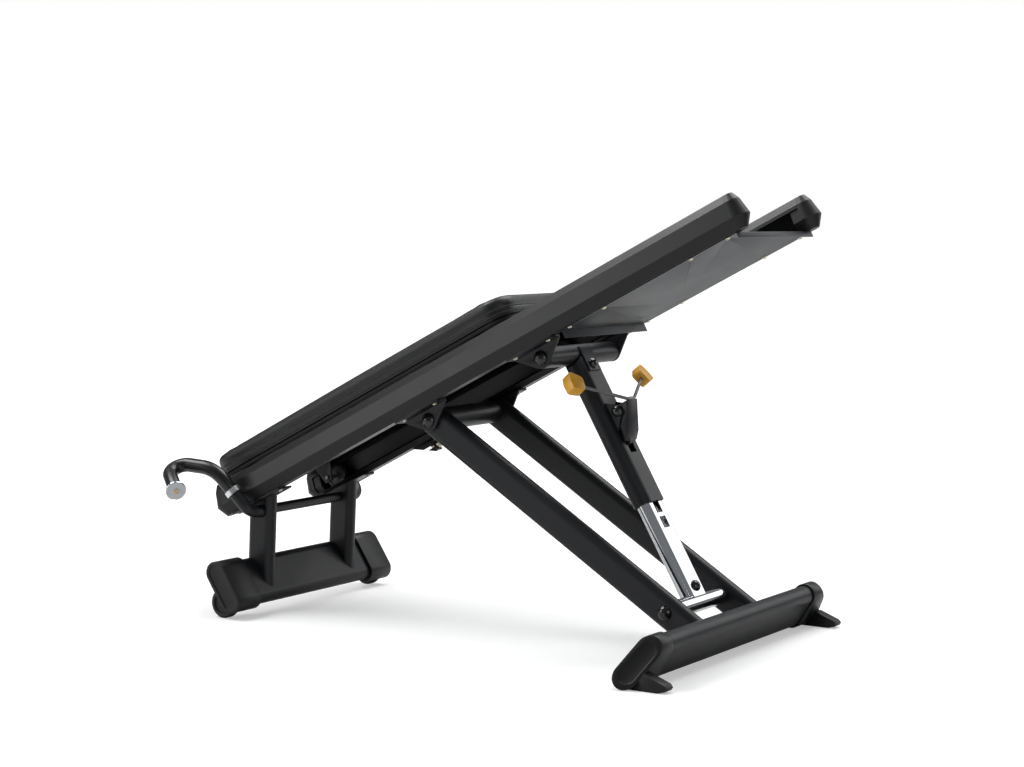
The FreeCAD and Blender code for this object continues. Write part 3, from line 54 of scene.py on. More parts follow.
JOINTS = {joint["name"]: joint for joint in frame["joints"]}
Colour = tuple[float, float, float]


# ---------------------------------------------------------------- working frames

@dataclass(frozen=True)
class WorkingFrame:
    """A frame turned about Y: x along a rail or tube, y across the bench, z square to both."""

    origin: Vector
    along: Vector

    @property
    def matrix(self) -> Matrix:
        """The frame's place as a matrix."""
        x = self.along.normalized()
        y = Vector((0.0, 1.0, 0.0))
        z = x.cross(y)
        turn = Matrix((x, y, z)).transposed().to_4x4()
        return Matrix.Translation(self.origin) @ turn

    def local(self, place: Vector) -> Vector:
        """A point of the bench's own frame in this frame."""
        return self.matrix.inverted() @ place


def joint_place(name: str) -> Vector:
    """The pivot of a hinge."""
    return Vector(JOINTS[name]["pos_m"])


# The leg pivot's place in the rail frame: along the rail, and below its centre line.
LEG_PIVOT_ALONG = 0.3733
PIVOT_DROP = 0.0294
rail_axis = Vector(JOINTS["board_glide"]["axis"])
rail_normal = rail_axis.cross(Vector((0.0, 1.0, 0.0)))
RAIL = WorkingFrame(
    joint_place("leg_fold") - rail_axis * LEG_PIVOT_ALONG + rail_normal * PIVOT_DROP, rail_axis)
FLOOR = WorkingFrame(Vector((0.0, 0.0, 0.0)), Vector((1.0, 0.0, 0.0)))


def centre_of(node: str) -> Vector:
    """The middle of a node's box."""
    low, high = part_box(node)
    return (Vector(low) + Vector(high)) / 2


# ---------------------------------------------------------------- finishes

BROAD_SCALE = 9.0
BROAD_DETAIL = 4.0
BUMP_STRENGTH = 0.6
COAT_ROUGHNESS = 0.12
SHEEN_ROUGHNESS = 0.4
BRUSHED_STRETCH = (0.04, 1.0, 1.0)
POLISHED_STRETCH = (0.3, 1.0, 0.3)
CREASE_RANDOMNESS = 0.9
CREASE_WIDTH = 0.16
FINE_SHARE = 0.35
MOTTLE_START = 0.45
ROUGH_RANGE = (0.6, 1.4)


class Grain(Enum):
    """The small relief of a finish."""

    PEBBLED = "pebbled"
    BRUSHED = "brushed"
    CREASED = "creased"
    POLISHED = "polished"


@dataclass(frozen=True)
class Finish:
    """One surface finish, built as a procedural material.

    Args:
        name: material name.
        tone: main colour, linear.
        worn: colour of the paler mottling.
        mottle: how much of the paler colour shows, from 0 to 1.
        metallic: 1 for bare metal.
        rough: lowest and highest roughness.
        grain: kind of relief.
        pitch: size of the relief in metres.
        depth: height of the relief in metres.
        specular: strength of the plain reflection.
        coat: strength of a clear coat.
        sheen: strength of a soft sheen.
    """

    name: str
    tone: Colour
    worn: Colour
    mottle: float = 0.5
    metallic: float = 0.0
    rough: tuple[float, float] = (0.4, 0.55)
    grain: Grain = Grain.PEBBLED
    pitch: float = 0.0012
    depth: float = 0.00005
    specular: float = 0.4
    coat: float = 0.0
    sheen: float = 0.0

    def build(self) -> bpy.types.Material:
        """Make the material.

        Returns:
            The material, with its node tree.
        """
        material = bpy.data.materials.new(self.name)
        material.use_nodes = True
        tree = material.node_tree
        shader = tree.nodes["Principled BSDF"]
        place = tree.nodes.new("ShaderNodeTexCoord").outputs["Object"]
        broad = self._noise(tree, place, BROAD_SCALE, BROAD_DETAIL)
        fine = self._relief(tree, place)
        self._colour(tree, shader, broad, fine)
        self._roughness(tree, shader, broad, fine)
        bump = tree.nodes.new("ShaderNodeBump")
        bump.inputs["Strength"].default_value = BUMP_STRENGTH
        bump.inputs["Distance"].default_value = self.depth
        tree.links.new(fine, bump.inputs["Height"])
        tree.links.new(bump.outputs["Normal"], shader.inputs["Normal"])
        shader.inputs["Metallic"].default_value = self.metallic
        shader.inputs["Specular IOR Level"].default_value = self.specular
        shader.inputs["Coat Weight"].default_value = self.coat
        shader.inputs["Coat Roughness"].default_value = COAT_ROUGHNESS
        shader.inputs["Sheen Weight"].default_value = self.sheen
        shader.inputs["Sheen Roughness"].default_value = SHEEN_ROUGHNESS
        return material

    def _noise(self, tree: bpy.types.NodeTree, place: bpy.types.NodeSocket, scale: float,
               detail: float, stretch: Sequence[float] = (1.0, 1.0, 1.0)) -> bpy.types.NodeSocket:
        """A noise pattern, stretched if asked; returns its value."""
        mapping = tree.nodes.new("ShaderNodeMapping")
        mapping.inputs["Scale"].default_value = stretch
        tree.links.new(place, mapping.inputs["Vector"])
        noise = tree.nodes.new("ShaderNodeTexNoise")
        noise.inputs["Scale"].default_value = scale
        noise.inputs["Detail"].default_value = detail
        tree.links.new(mapping.outputs["Vector"], noise.inputs["Vector"])
        return noise.outputs["Fac"]

    def _relief(self, tree: bpy.types.NodeTree,
                place: bpy.types.NodeSocket) -> bpy.types.NodeSocket:
        """The finish's small relief; returns its height."""
        scale = 1.0 / self.pitch
        if self.grain is Grain.BRUSHED:
            return self._noise(tree, place, scale, 3.0, BRUSHED_STRETCH)
        if self.grain is Grain.POLISHED:
            return self._noise(tree, place, scale, 6.0, POLISHED_STRETCH)
        if self.grain is Grain.CREASED:
            cells = tree.nodes.new("ShaderNodeTexVoronoi")
            cells.feature = "DISTANCE_TO_EDGE"
            cells.inputs["Scale"].default_value = scale
            cells.inputs["Randomness"].default_value = CREASE_RANDOMNESS
            tree.links.new(place, cells.inputs["Vector"])
            edge = tree.nodes.new("ShaderNodeMapRange")
            edge.inputs["From Max"].default_value = CREASE_WIDTH
            tree.links.new(cells.outputs["Distance"], edge.inputs["Value"])
            return edge.outputs["Result"]
        return self._noise(tree, place, scale, 4.0)

    def _colour(self, tree: bpy.types.NodeTree, shader: bpy.types.Node,
                broad: bpy.types.NodeSocket, fine: bpy.types.NodeSocket) -> None:
        """Mottle the colour by the broad pattern and a little by the fine one."""
        both = tree.nodes.new("ShaderNodeMath")
        both.operation = "MULTIPLY_ADD"
        both.inputs[1].default_value = FINE_SHARE
        tree.links.new(fine, both.inputs[0])
        tree.links.new(broad, both.inputs[2])
        share = tree.nodes.new("ShaderNodeMapRange")
        share.inputs["From Min"].default_value = MOTTLE_START
        share.inputs["From Max"].default_value = 1.0
        share.inputs["To Max"].default_value = self.mottle
        tree.links.new(both.outputs["Value"], share.inputs["Value"])
        mix = tree.nodes.new("ShaderNodeMix")
        mix.data_type = "RGBA"
        mix.inputs["A"].default_value = (*self.tone, 1.0)
        mix.inputs["B"].default_value = (*self.worn, 1.0)
        tree.links.new(share.outputs["Result"], mix.inputs["Factor"])
        tree.links.new(mix.outputs["Result"], shader.inputs["Base Color"])

    def _roughness(self, tree: bpy.types.NodeTree, shader: bpy.types.Node,
                   broad: bpy.types.NodeSocket, fine: bpy.types.NodeSocket) -> None:
        """Vary the roughness by both patterns."""
        both = tree.nodes.new("ShaderNodeMath")
        both.operation = "ADD"
        tree.links.new(fine, both.inputs[0])
        tree.links.new(broad, both.inputs[1])
        spread = tree.nodes.new("ShaderNodeMapRange")
        spread.inputs["From Min"].default_value = ROUGH_RANGE[0]
        spread.inputs["From Max"].default_value = ROUGH_RANGE[1]
        spread.inputs["To Min"].default_value = self.rough[0]
        spread.inputs["To Max"].default_value = self.rough[1]
        tree.links.new(both.outputs["Value"], spread.inputs["Value"])
        tree.links.new(spread.outputs["Result"], shader.inputs["Roughness"])


FINISHES: dict[str, Finish] = {
    "black_coat": Finish("black_powder_coat", (0.0060, 0.0064, 0.0078), (0.011, 0.0115, 0.0135),
                         rough=(0.34, 0.46), pitch=0.0011, depth=0.00005, specular=0.34),
    "rail_anodised": Finish("black_anodised_rail", (0.0065, 0.0065, 0.0072),
                            (0.0105, 0.0105, 0.0118), rough=(0.32, 0.42), grain=Grain.BRUSHED,
                            pitch=0.0009, depth=0.00002, specular=0.34),
    "panel_sheet": Finish("graphite_sheet", (0.019, 0.0225, 0.024), (0.026, 0.030, 0.032),
                          rough=(0.42, 0.52), pitch=0.0010, depth=0.00003, specular=0.34),
    "cap_plastic": Finish("moulded_black_plastic", (0.0055, 0.0055, 0.0060),
                          (0.010, 0.010, 0.0108), rough=(0.34, 0.5), pitch=0.0007,
                          depth=0.00005, specular=0.36),
    "foot_plastic": Finish("moulded_foot_plastic", (0.0065, 0.0065, 0.0065),
                           (0.014, 0.014, 0.014), rough=(0.4, 0.58), pitch=0.0009,
                           depth=0.00008, specular=0.34),
    "dome_black": Finish("gloss_dome", (0.0045, 0.0045, 0.0048), (0.008, 0.008, 0.0085),
                         rough=(0.16, 0.26), grain=Grain.POLISHED, pitch=0.002, depth=0.00001,
                         specular=0.5, coat=0.2),
    "screw_steel": Finish("zinc_screw", (0.62, 0.56, 0.44), (0.78, 0.72, 0.6), metallic=1.0,
                          rough=(0.2, 0.34), pitch=0.0006, depth=0.00002),
    "bush_plastic": Finish("bush_nylon", (0.014, 0.014, 0.015), (0.024, 0.024, 0.025),
                           rough=(0.3, 0.45), pitch=0.0009, depth=0.00003),
    "chrome": Finish("polished_chrome", (0.72, 0.73, 0.75), (0.80, 0.81, 0.83), metallic=1.0,
                     rough=(0.05, 0.11), grain=Grain.POLISHED, pitch=0.004, depth=0.00001),
    "rod_steel": Finish("dark_plated_rod", (0.16, 0.16, 0.165), (0.24, 0.24, 0.24), metallic=0.8,
                        rough=(0.28, 0.4), grain=Grain.BRUSHED, pitch=0.0012, depth=0.00002),
    "paddle_yellow": Finish("yellow_moulding", (0.66, 0.33, 0.030), (0.74, 0.40, 0.050),
                            rough=(0.3, 0.44), pitch=0.001, depth=0.00004, specular=0.45),
    "wheel_plastic": Finish("wheel_tread", (0.010, 0.010, 0.010), (0.022, 0.021, 0.020),
                            rough=(0.45, 0.65), pitch=0.0008, depth=0.00006),
    "roller_plastic": Finish("roller_nylon", (0.030, 0.030, 0.032), (0.05, 0.05, 0.052),
                             rough=(0.28, 0.4), pitch=0.0012, depth=0.00002),
    "grip_rubber": Finish("grip_rubber", (0.0055, 0.0055, 0.0058), (0.010, 0.010, 0.0105),
                          rough=(0.24, 0.36), pitch=0.0008, depth=0.00004, specular=0.42),
    "collar_aluminium": Finish("turned_aluminium", (0.66, 0.67, 0.68), (0.74, 0.75, 0.76),
                               metallic=1.0, rough=(0.22, 0.36), grain=Grain.BRUSHED,
                               pitch=0.0008, depth=0.00002),
    "disc_grey": Finish("grey_end_disc", (0.50, 0.52, 0.54), (0.58, 0.60, 0.62),
                        rough=(0.3, 0.45), pitch=0.0008, depth=0.00003),
    "pad_vinyl": Finish("upholstery_vinyl", (0.0055, 0.0056, 0.0062), (0.0095, 0.0097, 0.0105),
                        rough=(0.3, 0.44), grain=Grain.CREASED, pitch=0.0016, depth=0.00009,
                        specular=0.42),
    "board_wood": Finish("stained_board", (0.004, 0.004, 0.0042), (0.008, 0.0075, 0.007),
                         rough=(0.5, 0.7), grain=Grain.BRUSHED, pitch=0.0016, depth=0.00008,
                         specular=0.25),
}
# Seam thread: its paler tone is partly the thread's own colour and partly a painted highlight standing in for
# light caught along the seam piping.
THREAD_WITH_PAINTED_HIGHLIGHT = Finish("seam_thread_painted_highlight", (0.030, 0.030, 0.033), (0.055, 0.055, 0.060), rough=(0.5, 0.7),
                pitch=0.0006, depth=0.0001)
BRASS = Finish("brass_screw", (0.60, 0.36, 0.12), (0.72, 0.46, 0.18), metallic=1.0,
               rough=(0.2, 0.32), pitch=0.0006, depth=0.00002)


class Paintbox:
    """Builds each finish once and hands its material out."""

    def __init__(self) -> None:
        """Start with no material made."""
        self._made: dict[str, bpy.types.Material] = {}

    def material(self, finish: Finish) -> bpy.types.Material:
        """The material of a finish, made the first time it is asked for."""
        if finish.name not in self._made:
            self._made[finish.name] = finish.build()
        return self._made[finish.name]

    def dress(self, piece: bpy.types.Object, slot: str) -> None:
        """Give a piece the finish of one of the record's slots."""
        self.paint(piece, FINISHES[slot])

    def paint(self, piece: bpy.types.Object, finish: Finish) -> None:
        """Give a piece one finish all over."""
        made = self.material(finish)
        if piece.data.materials:
            for number in range(len(piece.data.materials)):
                piece.data.materials[number] = made
        else:
            piece.data.materials.append(made)

    def dress_cad(self) -> None:
        """Give every CAD node the finish of its slot."""
        for entry in frame["record"]["subparts"]:
            self.dress(frame["nodes"][entry["node"]], entry["material_slot"])


PAINT = Paintbox()


# ---------------------------------------------------------------- bench tools

def clear_selection() -> None:
    """Leave edit mode and deselect everything."""
    active = bpy.context.view_layer.objects.active
    if active is not None and active.mode != "OBJECT":
        bpy.ops.object.mode_set(mode="OBJECT")
    bpy.ops.object.select_all(action="DESELECT")


def work_on(piece: bpy.types.Object) -> None:
    """Select one piece and make it active."""
    clear_selection()
    piece.select_set(True)
    bpy.context.view_layer.objects.active = piece


def select_faces(piece: bpy.types.Object, wanted: Callable[[Vector, Vector], bool]) -> None:
    """Select the faces whose centre and normal pass a test, then enter edit mode.

    Args:
        piece: the mesh object.
        wanted: takes a face's centre and normal.
    """
    work_on(piece)
    for vertex in piece.data.vertices:
        vertex.select = False
    for edge in piece.data.edges:
        edge.select = False
    for face in piece.data.polygons:
        face.select = wanted(face.center, face.normal)
    bpy.ops.object.mode_set(mode="EDIT")
    bpy.ops.mesh.select_mode(type="FACE")


def select_edges(piece: bpy.types.Object, wanted: Callable[[Vector, Vector], bool]) -> None:
    """Select the edges whose two ends pass a test, then enter edit mode.

    Args:
        piece: the mesh object.
        wanted: takes the places of an edge's ends.
    """
    work_on(piece)
    bpy.ops.object.mode_set(mode="EDIT")
    bpy.ops.mesh.select_mode(type="EDGE")
    bpy.ops.mesh.select_all(action="DESELECT")
    leave_edit()
    places = [vertex.co for vertex in piece.data.vertices]
    for edge in piece.data.edges:
        edge.select = wanted(places[edge.vertices[0]], places[edge.vertices[1]])
    bpy.ops.object.mode_set(mode="EDIT")


def leave_edit() -> None:
    """Go back to object mode."""
    bpy.ops.object.mode_set(mode="OBJECT")


def start_piece(name: str) -> bpy.types.Object:
    """Name the primitive that was just added and put its place in its mesh."""
    piece = bpy.context.object
    piece.name = name
    bpy.ops.object.transform_apply(location=True, rotation=True, scale=True)
    return piece


def add_block(name: str, low: Sequence[float], high: Sequence[float]) -> bpy.types.Object:
    """A block between two corners."""
    clear_selection()
    middle = (Vector(low) + Vector(high)) / 2
    bpy.ops.mesh.primitive_cube_add(size=1.0, location=middle)
    bpy.context.object.scale = Vector(high) - Vector(low)
    return start_piece(name)


def apply_modifiers(piece: bpy.types.Object) -> None:
    """Apply every modifier of a piece in order."""
    work_on(piece)
    for modifier in list(piece.modifiers):
        bpy.ops.object.modifier_apply(modifier=modifier.name)


def soften(piece: bpy.types.Object, width: float, segments: int = 3, angle: float = 30.0) -> None:
    """Round the sharp edges of a piece.

    Args:
        piece: the mesh object.
        width: width of the rounding.
        segments: faces across it.
        angle: edges sharper than this many degrees are rounded.
    """
    bevel = piece.modifiers.new("rounding", "BEVEL")
    bevel.width = width
    bevel.segments = segments
    bevel.limit_method = "ANGLE"
    bevel.angle_limit = math.radians(angle)
    bevel.harden_normals = False
    apply_modifiers(piece)


def smooth(piece: bpy.types.Object, angle: float = 35.0) -> None:
    """Shade a piece smooth but for its sharp edges."""
    work_on(piece)
    bpy.ops.object.shade_smooth_by_angle(angle=math.radians(angle))


def settle(piece: bpy.types.Object, place: WorkingFrame, body: str, slot: str,
           stands_for: Sequence[str] = (), finish: Optional[Finish] = None) -> bpy.types.Object:
    """Move a finished mesh into its working frame, dress it and tie it to its body.

    Args:
        piece: the mesh object, in the working frame's own coordinates.
        place: the working frame.
        body: the body that it rides on.
        slot: the record's material slot.
        stands_for: CAD nodes that it replaces.
        finish: a finish other than the slot's own.

    Returns:
        The same object.
    """
    piece.data.transform(place.matrix)
    piece.data.update()
    PAINT.paint(piece, finish or FINISHES[slot])
    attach(piece, body)
    if stands_for:
        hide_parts(*stands_for)
    LOG.info("%s rides on %s", piece.name, body)
    return piece


MERGE_DISTANCE = 0.00002
FLAT_WITHIN = math.radians(2.0)


def node_copy(node: str, name: str) -> bpy.types.Object:
    """A merged copy of a CAD node's mesh, its flat faces whole again."""
    clear_selection()
    piece = bpy.data.objects.new(name, frame["nodes"][node].data.copy())
    bpy.context.collection.objects.link(piece)
    work_on(piece)
    bpy.ops.object.mode_set(mode="EDIT")
    bpy.ops.mesh.select_all(action="SELECT")
    bpy.ops.mesh.remove_doubles(threshold=MERGE_DISTANCE)
    bpy.ops.mesh.dissolve_limited(angle_limit=FLAT_WITHIN)
    leave_edit()
    return piece


@dataclass
class Softened:
    """A CAD node shown again with rounded edges.

    Args:
        node: CAD node.
        width: width of the rounding, in metres.
        angle: edges sharper than this many degrees are rounded.
        shade: edges flatter than this many degrees are shaded smooth.
    """

    node: str
    width: float
    angle: float = 28.0
    shade: float = 35.0

    def build(self) -> None:
        """Copy the node's mesh, round its edges and replace the node."""
        entry = next(e for e in frame["record"]["subparts"] if e["node"] == self.node)
        bodies = frame["record"]["behaviour"]["bodies"]
        body = next(name for name, nodes in bodies.items() if self.node in nodes)
        piece = node_copy(self.node, f"{self.node}_rounded")
        soften(piece, self.width, 2, self.angle)
        smooth(piece, self.shade)
        settle(piece, FLOOR, body, entry["material_slot"], [self.node])


# ---------------------------------------------------------------- glideboard padding

@dataclass
class GlidePad:
    """The upholstered pad: foam under stitched vinyl.

    Args:
        corner: corner radius in plan.
        edge: rounding of the top edge.
        swell: how far the foam may stand out when it swells.
        voxel: size of the remeshing grid.
        frames: steps of the cloth simulation.
        seam_heights: the side seams, over the pad's underside.
        margin: room left on every side for the swell, and less below.
        held_band: height of the rim that the board holds.
        seam_width: how wide a seam spreads.
        seam_depth: how deep a seam is pressed in.
        channel_inset: distance of the top channel from the outline.
        thread: radius of the seam thread.
        sunk: how far inside the outline the thread lies.
    """

    corner: float = 0.060
    edge: float = 0.014
    swell: float = 0.004
    voxel: float = 0.005
    frames: int = 16
    seam_heights: tuple[float, float] = (0.011, 0.023)
    margin: float = 0.004
    held_band: float = 0.006
    seam_width: float = 0.0045
    seam_depth: float = 0.0028
    channel_inset: float = 0.030
    thread: float = 0.0008
    sunk: float = 0.0042

    def _extent(self) -> tuple[Vector, Vector]:
        """The pad's box in the rail frame."""
        places = [RAIL.local(vertex.co) for vertex in frame["nodes"]["pad"].data.vertices]
        low = Vector([min(place[axis] for place in places) for axis in range(3)])
        high = Vector([max(place[axis] for place in places) for axis in range(3)])
        return low, high

    def build(self) -> None:
        """Shape the block, let the foam swell, then sew the seams."""
        low, high = self._extent()
        inner_low = low + Vector((self.margin, self.margin, self.margin / 4))
        inner_high = high - Vector((self.margin, self.margin, self.margin))
        piece = add_block("pad_cover", inner_low, inner_high)
        self._round_plan(piece)
        self._round_top(piece)
        self._swell(piece, low, high)
        self._sew(piece, low, high)
        smooth(piece, 60.0)
        settle(piece, RAIL, "glideboard", "pad_vinyl", ["pad"])
        self._stitches(low, high)

    def _round_plan(self, piece: bpy.types.Object) -> None:
        """Round the four upright corners."""
        select_edges(piece, lambda start, end: abs(start.z - end.z) > 0.01)
        bpy.ops.mesh.bevel(offset=self.corner, segments=10, affect="EDGES")
        leave_edit()

    def _round_top(self, piece: bpy.types.Object) -> None:
        """Round the top rim."""
        select_faces(piece, lambda centre, normal: normal.z > 0.9)
        bpy.ops.mesh.bevel(offset=self.edge, segments=5, affect="EDGES")
        leave_edit()

    def _swell(self, piece: bpy.types.Object, low: Vector, high: Vector) -> None:
        """Press the foam outwards as cloth under pressure, held to its board below."""
        remesh = piece.modifiers.new("grid", "REMESH")
        remesh.mode = "VOXEL"
        remesh.voxel_size = self.voxel
        apply_modifiers(piece)
        even = piece.modifiers.new("even", "SMOOTH")
        even.factor = 0.5
        even.iterations = 3
        apply_modifiers(piece)
        start = [(vertex.co.copy(), vertex.normal.copy()) for vertex in piece.data.vertices]
        held = piece.vertex_groups.new(name="held")
        rim = [v.index for v in piece.data.vertices if v.co.z < low.z + self.held_band]
        held.add(rim, 1.0, "REPLACE")
        cloth = piece.modifiers.new("foam", "CLOTH")
        cloth.settings.vertex_group_mass = "held"
        cloth.settings.use_pressure = True
        cloth.settings.uniform_pressure_force = 4.0
        cloth.settings.effector_weights.gravity = 0.0
        cloth.settings.tension_stiffness = 15.0
        cloth.settings.compression_stiffness = 15.0
        cloth.settings.bending_stiffness = 1.5
        cloth.settings.quality = 4
        cloth.point_cache.frame_start = 1
        cloth.point_cache.frame_end = self.frames
        for step in range(1, self.frames + 1):
            bpy.context.scene.frame_set(step)
        apply_modifiers(piece)
        bpy.context.scene.frame_set(1)
        self._keep_swell(piece, start, low, high)
        relax = piece.modifiers.new("relax", "SMOOTH")
        relax.factor = 0.5
        relax.iterations = 5
        apply_modifiers(piece)

    def _keep_swell(self, piece: bpy.types.Object, start: Sequence[tuple[Vector, Vector]],
                    low: Vector, high: Vector) -> None:
        """Keep only how far the foam swelled straight outwards, and no more than it may.

        Args:
            piece: the cover after the cloth has settled.
            start: each vertex's place and normal before that.
            low: lower corner of the pad's box.
            high: upper corner of the pad's box.
        """
        for vertex, (was, normal) in zip(piece.data.vertices, start):
            out = min(max((vertex.co - was).dot(normal), 0.0), self.swell)
            place = was + normal * out
            place.x = min(max(place.x, low.x), high.x)
            place.y = min(max(place.y, low.y), high.y)
            place.z = min(max(place.z, low.z), high.z + 0.001)
            vertex.co = place

    def _sew(self, piece: bpy.types.Object, low: Vector, high: Vector) -> None:
        """Press the two side seams and the long channel round the top into the cover."""
        for vertex in piece.data.vertices:
            place = vertex.co
            inward = self._inward(place, low, high)
            for height in self.seam_heights:
                reach = (place.z - low.z - height) / self.seam_width
                if inward.length > 0.0 and abs(reach) < 3.0 and place.z < high.z - 0.008:
                    place += inward * self.seam_depth * math.exp(-reach * reach)
            if place.z > high.z - 0.010:
                from_edge = self._edge_distance(place, low, high)
                reach = (from_edge - self.channel_inset) / self.seam_width
                if abs(reach) < 3.0:
                    place.z -= self.seam_depth * 0.8 * math.exp(-reach * reach)

    def _edge_distance(self, place: Vector, low: Vector, high: Vector) -> float:
        """How far a point lies inside the pad's rounded outline."""
        half = (high - low) / 2
        middle = (high + low) / 2
        x = abs(place.x - middle.x) - (half.x - self.corner)
        y = abs(place.y - middle.y) - (half.y - self.corner)
        outside = math.hypot(max(x, 0.0), max(y, 0.0))
        return self.corner - outside - min(max(x, y), 0.0)

    def _inward(self, place: Vector, low: Vector, high: Vector) -> Vector:
        """The inward direction at a point of the pad's side, or none at its top and bottom."""
        if self._edge_distance(place, low, high) > 0.010:
            return Vector((0.0, 0.0, 0.0))
        half = (high - low) / 2
        middle = (high + low) / 2
        x, y = place.x - middle.x, place.y - middle.y
        over_x = max(abs(x) - (half.x - self.corner), 0.0)
        over_y = max(abs(y) - (half.y - self.corner), 0.0)
        return -Vector((math.copysign(over_x, x), math.copysign(over_y, y), 0.0)).normalized()

    def _stitches(self, low: Vector, high: Vector) -> None:
        """A row of thread in each side seam, bent round the pad's outline; its paler tone is partly the thread's
        own colour and partly a painted highlight along the seam.
        """
        corner = self.corner - self.sunk
        half = (high - low) / 2
        middle = (high + low) / 2
        across = Vector((half.x - self.corner, half.y - self.corner))
        for number, height in enumerate(self.seam_heights):
            clear_selection()
            bpy.ops.mesh.primitive_torus_add(
                major_radius=corner, minor_radius=self.thread, major_segments=64, minor_segments=6)
            piece = start_piece(f"seam_thread_painted_highlight_{number + 1}")
            for vertex in piece.data.vertices:
                turn = math.atan2(vertex.co.y, vertex.co.x)
                sign_x = 1.0 if math.cos(turn) >= 0.0 else -1.0
                sign_y = 1.0 if math.sin(turn) >= 0.0 else -1.0
                vertex.co.x += middle.x + sign_x * across.x
                vertex.co.y += middle.y + sign_y * across.y
                vertex.co.z += low.z + height
            smooth(piece, 80.0)
            # The paler thread finish is partly a painted highlight along the seam.
            settle(piece, RAIL, "glideboard", "pad_vinyl", finish=THREAD_WITH_PAINTED_HIGHLIGHT)


# ---------------------------------------------------------------- grip ends

@dataclass
class GripEnd:
    """The bright rim and the brass screw of one grip's end disc.

    Args:
        side: -1 for the right grip, 1 for the left.
        rim: outer radius of the disc.
        thick: thickness of the disc.
        band: radius of the band's section.
        proud: how far the band stands out of the disc.
        screw: radius of the screw's head.
        head: height of the screw's head.
        recess: depth of the drive recess.
    """

    side: int
    rim: float = 0.025
    thick: float = 0.006
    band: float = 0.0016
    proud: float = 0.0003
    screw: float = 0.0062
    head: float = 0.003
    recess: float = 0.0015

    def build(self) -> None:
        """Add the rim and the screw on the disc's own axis."""
        centre, heading = self._axis()
        turn = Vector((0.0, 0.0, 1.0)).rotation_difference(heading).to_matrix().to_4x4()
        place = Matrix.Translation(centre) @ turn
        name = "right" if self.side < 0 else "left"
        for piece, finish in ((self._rim(name), FINISHES["chrome"]), (self._screw(name), BRASS)):
            piece.data.transform(place)
            smooth(piece, 40.0)
            settle(piece, FLOOR, "frame", "disc_grey", finish=finish)

    def _axis(self) -> tuple[Vector, Vector]:
        """The middle of the disc's body and its outward direction."""
        node = frame["nodes"]["grip_end_discs"]
        places = [v.co.copy() for v in node.data.vertices if v.co.y * self.side > 0.0]
        rim_places = np.array(places)
        middle = rim_places.mean(axis=0)
        spread = np.linalg.svd(rim_places - middle, full_matrices=False)[2][2]
        heading = Vector(spread).normalized()
        grip = centre_of("grip_right" if self.side < 0 else "grip_left")
        if heading.dot(Vector(middle) - grip) < 0.0:
            heading = -heading
        depths = [heading.dot(place) for place in places]
        base = min(depths) + self.thick / 2
        centre = Vector(middle) + heading * (base - heading.dot(Vector(middle)))
        return centre, heading

    def _rim(self, name: str) -> bpy.types.Object:
        """A rolled metal band round the disc."""
        clear_selection()
        bpy.ops.mesh.primitive_torus_add(major_radius=self.rim + self.proud, minor_radius=self.band,
                                         major_segments=64, minor_segments=12)
        band = start_piece(f"disc_rim_{name}")
        for vertex in band.data.vertices:
            vertex.co.z *= self.thick / 0.0034
        return band

    def _screw(self, name: str) -> bpy.types.Object:
        """A round-headed screw with a drive recess."""
        clear_selection()
        bpy.ops.mesh.primitive_cylinder_add(vertices=24, radius=self.screw, depth=self.head,
                                            location=(0.0, 0.0, self.thick / 2 + 0.0022))
        screw = start_piece(f"disc_screw_{name}")
        select_faces(screw, lambda centre, normal: normal.z > 0.9)
        bpy.ops.mesh.inset(thickness=0.0034, depth=0.0)
        bpy.ops.mesh.extrude_region_move(TRANSFORM_OT_translate={"value": (0.0, 0.0, -self.recess)})
        leave_edit()
        soften(screw, 0.0007, 2)
        return screw


# ---------------------------------------------------------------- light and camera

